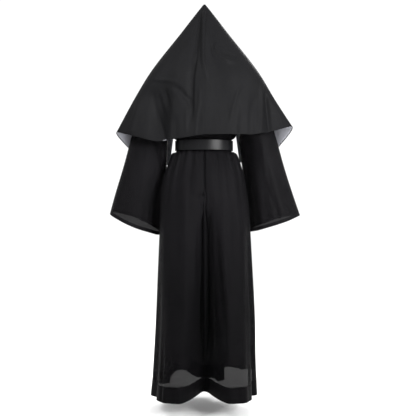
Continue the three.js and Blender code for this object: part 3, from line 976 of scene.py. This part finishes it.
    def _thicken(self, obj: bpy.types.Object) -> None:
        """Give a panel its thickness, inwards from its outer face, and round its edges.

        Args:
            obj: the panel.
        """
        make = self.make
        group = obj.vertex_groups.new(name="doubled")
        for number, entry in enumerate(obj.data.attributes["hem"].data):
            inside = make.turn_up + self.HEM_EASE / 2 - entry.value
            weight = float(smooth(np.array(inside / self.HEM_EASE)))
            group.add([number], weight, "REPLACE")
        wall = obj.modifiers.new("wall", "SOLIDIFY")
        wall.thickness = make.doubled * MM
        wall.offset = -1.0
        wall.vertex_group = group.name
        wall.thickness_vertex_group = make.cloth / make.doubled
        edge = obj.modifiers.new("edge", "BEVEL")
        edge.width = self.EDGE_ROUNDING * make.cloth * MM
        edge.segments = 2
        edge.limit_method = "ANGLE"
        edge.angle_limit = self.EDGE_TURN
        solid = bpy.data.meshes.new_from_object(obj.evaluated_get(bpy.context.evaluated_depsgraph_get()))
        obj.modifiers.clear()
        obj.data = solid
        obj.vertex_groups.clear()


def make_piece(
    name: str,
    mesh: Grid,
    material: bpy.types.Material,
    nodes: tuple[str, ...] = (),
) -> bpy.types.Object:
    """Make a piece of the costume from a mesh.

    Args:
        name: the piece's name.
        mesh: its mesh, which is used up.
        material: its material.
        nodes: the solids that it stands for.

    Returns:
        The piece.
    """
    for face in mesh.faces:
        face.smooth = True
        face.material_index = 0
    data = bpy.data.meshes.new(name)
    mesh.to_mesh(data)
    mesh.free()
    data.materials.append(material)
    obj = bpy.data.objects.new(name, data)
    bpy.context.scene.collection.objects.link(obj)
    if nodes:
        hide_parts(*nodes)
    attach(obj, "root")
    return obj


# ---- Sub-assemblies.


class Robe:
    """The belted robe in three panels."""

    PANELS = (
        ClothPanel("robe_front_cloth", halves("robe_front"), (1.3, 1.46), 0.88, Held.HUNG, "belt_strap"),
        *(
            ClothPanel(f"{back}_cloth", halves(back), (0.62, 1.5), 0.46, Held.HUNG, "belt_strap")
            for back in ("robe_back_left", "robe_back_right")
        ),
    )
    BACK_CREASES = (
        (((-115, -415), (-131, -466), (-143, -508), (-154, -567)), 13, 4.5, (0.0, 0.6)),
        (((-104, -415), (-122, -466), (-134, -516)), 10, -3.0, (0.0, 0.6)),
        (((-96, -415), (-102, -453), (-110, -500), (-119, -558), (-121, -624)), 15, 5.0, (0.0, 0.7)),
        (((-75, -415), (-77, -474)), 11, 3.0, (0.0, 0.8)),
        (((-62, -415), (-62, -457)), 9, -1.6, (0.0, 0.8)),
        (((-50, -415), (-50, -457), (-51, -504)), 12, 4.5, (0.0, 0.8)),
        (((-35, -415), (-35, -466)), 10, -2.0, (0.0, 0.8)),
        (((-23, -415), (-23, -457), (-26, -508)), 12, 5.0, (0.0, 0.8)),
        (((0, -415), (0, -529), (1, -583), (8, -616), (5, -657), (3, -723)), 10, 6.0, (0.0, 0.2)),
        (((15, -415), (15, -457)), 9, 2.4, (0.0, 0.8)),
        (((28, -415), (30, -466), (27, -516)), 11, 4.6, (0.0, 0.8)),
        (((48, -415), (53, -457), (56, -508)), 13, 6.2, (0.0, 0.8)),
        (((66, -415), (72, -466), (73, -542)), 12, -4.4, (0.0, 0.7)),
        (((86, -415), (94, -466), (104, -525)), 13, 6.0, (0.0, 0.8)),
        (((105, -415), (119, -470), (135, -521), (147, -571), (151, -649)), 15, 8.0, (0.0, 0.6)),
        (((118, -415), (133, -466), (149, -512), (159, -567)), 12, -4.5, (0.0, 0.5)),
        (((5, -610), (-16, -620), (-46, -639)), 22, 7.5, (0.1, 0.5), -0.2),
        (((-1, -630), (-22, -641), (-43, -656)), 18, -4.0, (0.2, 0.5)),
        (((1, -645), (-10, -666), (-14, -690)), 17, 5.0, (0.2, 0.5)),
        (((11, -608), (16, -633), (11, -657)), 8, -2.4, (0.3, 0.5)),
        (
            ((5, -666), (3, -723), (3, -837), (4, -998), (7, -1196), (7, -1400)),
            62, 26.0, (0.12, 0.32), 0.25,
        ),
        (((7, -780), (7, -998), (9, -1196), (9, -1400)), 108, 10.0, (0.5, 0.35)),
        (((-4, -698), (-4, -796), (-5, -885), (-1, -1038)), 9, -4.0, (0.3, 0.4)),
        (((-28, -698), (-36, -780), (-40, -885), (-39, -998), (-50, -1125)), 24, -4.5, (0.15, 0.5), -0.4),
        (((68, -653), (76, -796), (84, -938), (100, -1137)), 56, -6.0, (0.3, 0.5)),
        (((35, -723), (52, -837), (68, -998), (79, -1157), (87, -1322)), 40, 5.0, (0.3, 0.4)),
        (((-82, -950), (-80, -1098), (-81, -1244)), 12, -2.2, (0.3, 0.4)),
        (((-121, -653), (-123, -877), (-134, -1157)), 58, 5.0, (0.4, 0.5)),
        (((-162, -616), (-165, -796), (-167, -1038)), 26, -3.0, (0.3, 0.5)),
        (((-76, -500), (-84, -674), (-87, -837)), 50, -4.0, (0.4, 0.5)),
        (((130, -591), (129, -796), (133, -998)), 44, 4.5, (0.4, 0.5)),
        (((159, -633), (164, -877), (164, -1157)), 26, -3.5, (0.3, 0.4)),
        (((120, -986), (132, -1014), (147, -1038)), 12, 3.2, (0.3, 0.4)),
        (((112, -1173), (130, -1208), (151, -1244)), 12, 3.4, (0.3, 0.4)),
        (((118, -1157), (138, -1193), (156, -1220)), 11, -2.4, (0.3, 0.4)),
        (((96, -1062), (112, -1094), (128, -1110)), 12, 2.0, (0.3, 0.4)),
        (((-166, -1196), (-171, -1322), (-176, -1447)), 18, 5.0, (0.4, 0.0)),
        (((-129, -1244), (-133, -1447)), 60, 5.0, (0.6, 0.0)),
        (((135, -1244), (139, -1447)), 44, 4.5, (0.6, 0.0)),
    )
    FRONT_CREASES = (
        (((-106, -392), (-114, -450), (-128, -520)), 15, 3.5, (0.0, 0.8)),
        (((-86, -392), (-88, -470), (-98, -590)), 17, 4.5, (0.0, 0.8)),
        (((-66, -392), (-67, -450), (-70, -490)), 13, 3.0, (0.0, 0.8)),
        (((-46, -392), (-47, -480), (-52, -620)), 18, 5.0, (0.0, 0.8)),
        (((-28, -392), (-28, -440)), 12, 3.0, (0.0, 0.8)),
        (((-8, -392), (-8, -470), (-12, -560)), 15, 4.0, (0.0, 0.8)),
        (((12, -392), (12, -450)), 13, 3.0, (0.0, 0.8)),
        (((31, -392), (32, -480), (36, -640)), 18, 5.0, (0.0, 0.8)),
        (((52, -392), (53, -450), (56, -510)), 14, 3.5, (0.0, 0.8)),
        (((72, -392), (74, -470), (82, -600)), 17, 4.5, (0.0, 0.8)),
        (((91, -392), (95, -450), (104, -520)), 14, 3.0, (0.0, 0.8)),
        (((108, -392), (116, -450), (132, -540)), 16, 4.0, (0.0, 0.8)),
        (((-92, -410), (-90, -350), (-84, -280)), 18, 4.0, (0.1, 0.7)),
        (((-60, -410), (-58, -340), (-50, -240)), 20, 4.5, (0.1, 0.7)),
        (((-30, -410), (-30, -360)), 15, 3.0, (0.1, 0.7)),
        (((-4, -410), (-5, -340), (-8, -270)), 18, 4.0, (0.1, 0.7)),
        (((24, -410), (24, -350), (20, -300)), 16, 3.5, (0.1, 0.7)),
        (((54, -410), (52, -340), (44, -230)), 20, 4.5, (0.1, 0.7)),
        (((84, -410), (82, -350), (76, -290)), 17, 3.5, (0.1, 0.7)),
        (((-150, -190), (-120, -215), (-84, -222)), 26, 4.0, (0.3, 0.6)),
        (((152, -196), (124, -224), (90, -236)), 24, 4.0, (0.3, 0.6)),
        (((-120, -60), (-98, -120), (-90, -180)), 30, 3.0, (0.4, 0.6)),
        (((118, -64), (100, -130), (94, -200)), 28, 3.0, (0.4, 0.6)),
        (((-66, -620), (-80, -900), (-92, -1300), (-94, -1460)), 60, -8.0, (0.4, 0.0)),
        (((70, -640), (84, -950), (96, -1460)), 56, -7.0, (0.4, 0.0)),
        (((4, -560), (2, -760), (6, -980)), 50, 6.0, (0.4, 0.5)),
        (((-150, -600), (-170, -900), (-190, -1460)), 54, 6.0, (0.4, 0.0)),
        (((150, -590), (168, -860), (184, -1200)), 50, 6.0, (0.4, 0.5)),
        (((-118, -980), (-140, -1060), (-170, -1110)), 24, 4.0, (0.5, 0.5)),
        (((108, -1120), (132, -1190), (160, -1230)), 24, 4.0, (0.5, 0.5)),
        (((-30, -900), (-34, -1180), (-38, -1440)), 30, 4.0, (0.5, 0.0)),
        (((210, -880), (226, -1180), (238, -1455)), 44, 6.0, (0.5, 0.0)),
    )

    BELT_MIDDLE = -399.5
    BELT_REACH = 34.0
    BELT_EASE = 16.0
    BELT_PINCH = 3.0
    HEM_BELOW = -1.43

    def __init__(self, material: bpy.types.Material) -> None:
        """Set how the robe is made up.

        Args:
            material: the robe's cloth.
        """
        self.make = ClothMake(1.5, 2.4, 62.0, 2, self._on_hem, material, "robe_cloth")

    def build(self) -> list[bpy.types.Object]:
        """Build the robe.

        Returns:
            Its pieces.
        """
        sheet = ClothSheet(self.PANELS, self.make)
        sheet.flatten((0.0, 1.0))
        sheet.refine()
        sheet.add_rows()
        sheet.move(-sheet.normals() * self._belt_pinch(sheet.points())[:, None])
        sheet.crease(lay_creases(self.BACK_CREASES, self.FRONT_CREASES))
        sheet.mark_hem()
        return sheet.pieces()

    def _on_hem(self, spot: Vector) -> bool:
        """Tell whether a border point lies on the hem."""
        return spot.z < self.HEM_BELOW

    def _belt_pinch(self, points: np.ndarray) -> np.ndarray:
        """Work out how far the belt draws the cloth in.

        Args:
            points: the points in millimetres.

        Returns:
            The depth at each point.
        """
        away = np.abs(points[:, 2] - self.BELT_MIDDLE)
        return self.BELT_PINCH * smooth((self.BELT_REACH - away) / self.BELT_EASE)


class Sleeve:
    """One bell sleeve."""

    CUFF_BELOW = -0.5

    def __init__(self, panel: ClothPanel, creases: list[Crease], material: bpy.types.Material) -> None:
        """Set how the sleeve is made up.

        Args:
            panel: its cut.
            creases: its creases.
            material: the robe's cloth.
        """
        self.panel = panel
        self.creases = creases
        self.make = ClothMake(1.5, 1.9, 15.0, 3, self._on_hem, material, "robe_cloth")

    def build(self) -> list[bpy.types.Object]:
        """Build the sleeve.

        Returns:
            Its piece.
        """
        sheet = ClothSheet((self.panel,), self.make)
        sheet.flatten((math.copysign(1.0, self.creases[0].line[0][0]), 0.0))
        sheet.refine()
        sheet.crease(self.creases)
        sheet.mark_hem()
        return sheet.pieces()

    def _on_hem(self, spot: Vector) -> bool:
        """Tell whether a border point lies on the cuff and not on the armhole."""
        return spot.z < self.CUFF_BELOW


LEFT_SLEEVE = ClothPanel(
    "sleeve_left_cloth", halves("sleeve_left"), (0.86, 0.68), 0.33, Held.HUNG, "robe_front_upper"
)
LEFT_BACK_CREASES = (
    (((-227, -372), (-210, -427), (-198, -474), (-183, -530)), 12, -4.0, (0.0, 0.4), 0.4),
    (((-206, -372), (-191, -427), (-178, -496), (-172, -547)), 28, 9.0, (0.0, 0.3), -0.2),
    (((-215, -453), (-217, -496), (-223, -547)), 12, -2.4, (0.4, 0.5)),
    (((-185, -530), (-198, -615), (-204, -700), (-202, -776)), 44, 11.0, (0.3, 0.0), -0.3),
    (((-236, -572), (-242, -653), (-249, -742)), 30, -4.0, (0.4, 0.0)),
    (((-274, -555), (-291, -649), (-304, -734)), 48, 5.0, (0.4, 0.0)),
    (((-270, -376), (-266, -427), (-261, -487)), 34, 4.0, (0.2, 0.6)),
    (((-304, -376), (-315, -436), (-325, -504)), 18, -3.0, (0.2, 0.5)),
    (((-334, -581), (-349, -640), (-363, -691)), 34, -4.0, (0.5, 0.0)),
)
LEFT_FRONT_CREASES = (
    (((-214, -240), (-240, -290), (-276, -310)), 22, 4.0, (0.4, 0.6)),
    (((-206, -330), (-244, -352), (-290, -350)), 24, 5.0, (0.4, 0.6)),
    (((-204, -380), (-236, -420), (-270, -440)), 20, 4.0, (0.4, 0.6)),
    (((-250, -420), (-270, -560), (-286, -740)), 46, 7.0, (0.4, 0.0)),
    (((-310, -470), (-336, -600), (-356, -720)), 40, 6.0, (0.4, 0.0)),
)
RIGHT_SLEEVE = ClothPanel(
    "sleeve_right_cloth", halves("sleeve_right"), (0.86, 0.66), 0.33, Held.HUNG, "robe_front_upper"
)
RIGHT_BACK_CREASES = (
    (((172, -351), (181, -427), (187, -530), (194, -649), (200, -768)), 92, 15.0, (0.1, 0.0), 0.25),
    (((183, -368), (188, -461), (189, -572)), 14, 4.0, (0.2, 0.5)),
    (((245, -359), (253, -461), (262, -572)), 40, -4.5, (0.2, 0.5)),
    (((290, -359), (291, -419), (300, -487)), 22, 3.4, (0.2, 0.5)),
    (((249, -496), (266, -513), (296, -508)), 12, 2.4, (0.3, 0.5)),
    (((253, -564), (266, -581), (283, -598)), 12, 2.4, (0.3, 0.5)),
    (((291, -598), (304, -661), (321, -725)), 44, 5.0, (0.4, 0.0)),
    (((342, -564), (355, -623), (368, -683)), 28, 4.0, (0.4, 0.0)),
)
RIGHT_FRONT_CREASES = (
    (((206, -250), (236, -300), (266, -316)), 24, 4.5, (0.4, 0.6)),
    (((198, -330), (236, -360), (286, -352)), 22, 5.0, (0.4, 0.6)),
    (((200, -392), (228, -430), (262, -452)), 20, 3.5, (0.4, 0.6)),
    (((244, -430), (262, -580), (276, -745)), 44, 7.0, (0.4, 0.0)),
    (((304, -480), (330, -610), (352, -725)), 42, 5.5, (0.4, 0.0)),
)


LINING_RESTS_ON = "robe_front_upper"


class Veil:
    """The pointed veil and its pale lining, each in two halves."""

    PANELS = tuple(
        ClothPanel(f"veil_{side}_cloth", (f"veil_{side}",), flat, area, Held.DRAPED, f"veil_lining_{side}")
        for side, flat, area in (("left", (0.66, 0.78), 0.28), ("right", (0.64, 0.76), 0.27))
    )
    LININGS = tuple(
        ClothPanel(f"lining_{side}_cloth", (f"veil_lining_{side}",), flat, area, Held.DRAPED, LINING_RESTS_ON)
        for side, flat, area in (("left", (0.66, 0.76), 0.276), ("right", (0.64, 0.74), 0.265))
    )
    BACK_CREASES = (
        (((0, 181), (-2, 46), (-2, -42), (7, -108), (22, -164)), 27, -8.5, (0.05, 0.35), -0.45),
        (
            ((-25, 163), (-30, 46), (-40, -51), (-50, -121), (-52, -199), (-51, -267), (-65, -361)),
            40, 8.0, (0.65, 0.2), -0.3,
        ),
        (((-21, -147), (-22, -233), (-33, -293), (-39, -361)), 18, -3.4, (0.3, 0.0), 0.3),
        (((42, 37), (49, 2), (66, -29), (99, -47), (154, -55)), 32, -6.0, (0.15, 0.45)),
        (((30, 29), (34, -7), (40, -51)), 14, 3.4, (0.3, 0.5)),
        (((74, -11), (112, -24), (158, -32)), 20, 2.8, (0.3, 0.4)),
        (((166, -130), (136, -190), (115, -259), (96, -344)), 22, -3.0, (0.3, 0.3)),
        (((148, -199), (139, -267), (130, -357)), 40, 3.4, (0.4, 0.0)),
        (((209, -182), (200, -267), (196, -361)), 52, 6.0, (0.35, 0.0)),
        (((241, -112), (243, -199), (238, -344)), 30, -5.0, (0.3, 0.0)),
        (((259, -164), (267, -233), (272, -293), (276, -348)), 34, 10.0, (0.3, 0.0), -0.35),
        (((310, -233), (320, -284), (329, -318)), 24, -3.0, (0.4, 0.0)),
        (((-228, -134), (-213, -199), (-201, -259), (-179, -369)), 150, 14.0, (0.35, 0.0)),
        (((-226, -134), (-212, -199), (-197, -267), (-170, -373)), 34, 5.0, (0.6, 0.0), -0.3),
        (((-192, -156), (-178, -199), (-168, -242), (-155, -293)), 26, -3.6, (0.3, 0.4)),
        (((-167, -156), (-154, -207), (-140, -267)), 20, 3.4, (0.3, 0.4)),
        (((-226, -121), (-186, -127), (-144, -132), (-102, -147)), 26, -4.0, (0.15, 0.4)),
        (((-144, -147), (-102, -177), (-68, -216), (-47, -267)), 40, 7.0, (0.3, 0.4)),
        (((-72, -233), (-74, -284), (-76, -361)), 22, -3.4, (0.3, 0.2)),
        (((-122, -267), (-121, -373)), 50, 6.0, (0.5, 0.0)),
        (((-273, -199), (-290, -267), (-307, -344)), 44, -4.5, (0.4, 0.0)),
        (((-36, 109), (-78, 46), (-137, -33)), 44, 3.0, (0.3, 0.5)),
    )
    FRONT_CREASES = (
        (((-112, 60), (-150, -90), (-190, -240), (-214, -440)), 34, 6.0, (0.4, 0.0)),
        (((-96, 40), (-126, -90), (-154, -260), (-176, -455)), 26, -5.0, (0.4, 0.0)),
        (((-190, -60), (-246, -220), (-286, -400)), 46, 7.0, (0.4, 0.0)),
        (((-170, -110), (-200, -150), (-250, -170)), 26, 4.0, (0.4, 0.5)),
        (((106, 54), (148, -90), (196, -250), (226, -436)), 36, 6.5, (0.4, 0.0)),
        (((90, 20), (122, -110), (150, -280), (172, -450)), 28, -5.0, (0.4, 0.0)),
        (((186, -70), (240, -230), (276, -400)), 44, 6.0, (0.4, 0.0)),
        (((160, -120), (204, -150), (246, -150)), 24, 4.0, (0.4, 0.5)),
    )

    UNDER = "robe_back_left_cloth", "robe_back_right_cloth", "sleeve_left_cloth", "sleeve_right_cloth"
    CLEARANCE = 3.4

    def __init__(self, cloth: bpy.types.Material, lining: bpy.types.Material) -> None:
        """Set how the veil is made up.

        Args:
            cloth: the veil's cloth.
            lining: the lining's cloth.
        """
        self.outer = ClothMake(0.9, 0.9, 12.0, 3, lambda spot: True, cloth, "veil_cloth")
        self.inner = ClothMake(0.8, 0.8, 12.0, 3, lambda spot: True, lining, "lining_cloth")

    def build(self) -> list[bpy.types.Object]:
        """Build the veil and its lining.

        Returns:
            Their pieces.
        """
        outer = ClothSheet(self.PANELS, self.outer)
        outer.flatten((0.0, 1.0))
        outer.refine()
        outer.crease(lay_creases(self.BACK_CREASES, self.FRONT_CREASES))
        outer.rest_on(tuple(bpy.data.objects[name] for name in self.UNDER), self.CLEARANCE)
        outer.mark_hem()
        inner = ClothSheet(self.LININGS, self.inner)
        inner.flatten((0.0, 1.0))
        inner.refine()
        inner.follow(outer, 0.6)
        inner.mark_hem()
        inner.set_back(4.0)
        return outer.pieces() + inner.pieces()


class Belt:
    """The leather belt, its keeper and its buckle."""

    def __init__(self, hide: bpy.types.Material, metal: bpy.types.Material) -> None:
        """Set the belt's materials.

        Args:
            hide: the strap's leather.
            metal: the buckle's metal.
        """
        self.hide = hide
        self.metal = metal

    def build(self) -> list[bpy.types.Object]:
        """Build the belt.

        Returns:
            Its pieces.
        """
        return [
            self._softened("belt_strap", self.hide, "belt_hide", 0.5),
            self._softened("belt_keeper", self.hide, "belt_hide", 0.3),
            self._softened("belt_buckle", self.metal, "buckle_metal", 0.0),
            self._softened("belt_prong", self.metal, "buckle_metal", 0.0),
        ]

    @staticmethod
    def _softened(node: str, material: bpy.types.Material, slot: str, rounding: float) -> bpy.types.Object:
        """Copy a solid with rounded edges and a smooth surface.

        Args:
            node: the solid.
            material: its material.
            slot: a name for the material slot; not used.
            rounding: the radius of its edges in millimetres, 0 for rods.

        Returns:
            The piece.
        """
        mesh = bmesh.new()
        mesh.from_mesh(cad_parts[node].data)
        bmesh.ops.remove_doubles(mesh, verts=mesh.verts[:], dist=0.01 * MM)
        bmesh.ops.join_triangles(
            mesh,
            faces=mesh.faces[:],
            angle_face_threshold=math.radians(30),
            angle_shape_threshold=math.pi,
        )
        if rounding:
            sharp = [edge for edge in mesh.edges if edge.calc_face_angle(0.0) > math.radians(50)]
            bmesh.ops.bevel(
                mesh,
                geom=sharp,
                offset=rounding * MM,
                segments=2,
                profile=0.5,
                affect="EDGES",
                material=-1,
            )
        obj = make_piece(f"{node}_finished", mesh, material, (node,))
        divide = obj.modifiers.new("divide", "SUBSURF")
        divide.levels = divide.render_levels = 2
        return obj


# ---- Stage.


@dataclass(frozen=True)
class LampSize:
    """A soft lamp.

    Attributes:
        name: its name.
        place: where it stands, in metres.
        aim: what it points at.
        size: its width and height in metres.
        watts: its power.
        spread: the angle that it lights, in degrees.
    """

    name: str
    place: tuple[float, float, float]
    aim: tuple[float, float, float]
    size: tuple[float, float]
    watts: float
    spread: float = 180.0


class Studio:
    """The pale floor, the soft light and the camera."""

    FLOOR_Z = -1.53
    LENS = 72.45
    CAMERA = (0.015, -3.6, -0.6656)
    LAMPS = (
        LampSize("key", (1.9, -2.5, 0.45), (0.0, 0.0, -0.1), (1.9, 1.5), 60.0, 75.0),
        LampSize("fill", (-1.9, -2.3, 1.7), (0.0, 0.0, -0.1), (1.4, 1.4), 30.0, 80.0),
        LampSize("rim", (0.8, 2.6, 1.6), (0.0, 0.0, -0.5), (1.4, 1.4), 90.0),
    )

    def build(self) -> None:
        """Build the stage."""
        self._floor()
        for lamp in self.LAMPS:
            self._lamp(lamp)
        self._camera()
        self._world()

    def _floor(self) -> None:
        """Lay the floor."""
        mesh = bmesh.new()
        bmesh.ops.create_grid(mesh, x_segments=1, y_segments=1, size=30.0)
        bmesh.ops.translate(mesh, verts=mesh.verts[:], vec=(0.0, 0.0, self.FLOOR_Z))
        data = bpy.data.meshes.new("floor")
        mesh.to_mesh(data)
        mesh.free()
        graph = ShaderGraph("floor_paper")
        data.materials.append(graph.finish({"Base Color": (0.94, 0.94, 0.94, 1.0), "Roughness": 0.9}))
        floor = bpy.data.objects.new("floor", data)
        bpy.context.scene.collection.objects.link(floor)

    @staticmethod
    def _lamp(size: LampSize) -> None:
        """Place a lamp.

        Args:
            size: the lamp.
        """
        data = bpy.data.lights.new(size.name, "AREA")
        data.shape = "RECTANGLE"
        data.size, data.size_y = size.size
        data.energy = size.watts
        data.spread = math.radians(size.spread)
        lamp = bpy.data.objects.new(size.name, data)
        lamp.location = size.place
        lamp.rotation_mode = "QUATERNION"
        lamp.rotation_quaternion = (Vector(size.aim) - Vector(size.place)).to_track_quat("-Z", "Y")
        bpy.context.scene.collection.objects.link(lamp)

    def _camera(self) -> None:
        """Place the camera at the photograph's angle."""
        data = bpy.data.cameras.new("camera")
        data.lens = self.LENS
        data.sensor_width = 36.0
        data.dof.use_dof = False
        camera = bpy.data.objects.new("camera", data)
        camera.location = self.CAMERA
        camera.rotation_euler = (math.pi / 2, 0.0, 0.0)
        bpy.context.scene.collection.objects.link(camera)
        bpy.context.scene.camera = camera

    @staticmethod
    def _world() -> None:
        """Light the room evenly."""
        world = bpy.data.worlds.new("room")
        world.use_nodes = True
        world.node_tree.nodes["Background"].inputs["Color"].default_value = (1.0, 1.0, 1.0, 1.0)
        world.node_tree.nodes["Background"].inputs["Strength"].default_value = 1.08
        bpy.context.scene.world = world
        bpy.context.scene.view_settings.view_transform = "Standard"


def main() -> None:
    """Build the costume in order."""
    logging.basicConfig(level=logging.INFO, format="%(name)s: %(message)s")
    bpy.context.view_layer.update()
    Robe(ROBE_CLOTH.build()).build()
    sleeve_cloth = SLEEVE_CLOTH.build()
    Sleeve(LEFT_SLEEVE, lay_creases(LEFT_BACK_CREASES, LEFT_FRONT_CREASES), sleeve_cloth).build()
    Sleeve(RIGHT_SLEEVE, lay_creases(RIGHT_BACK_CREASES, RIGHT_FRONT_CREASES), sleeve_cloth).build()
    LOG.info("robe and sleeves built")
    Veil(VEIL_CLOTH.build(), LINING_CLOTH.build()).build()
    LOG.info("veil built")
    Belt(BELT_HIDE.build(), BUCKLE_METAL.build()).build()
    Studio().build()
    LOG.info("costume finished")


if __name__ == "__main__":
    main()
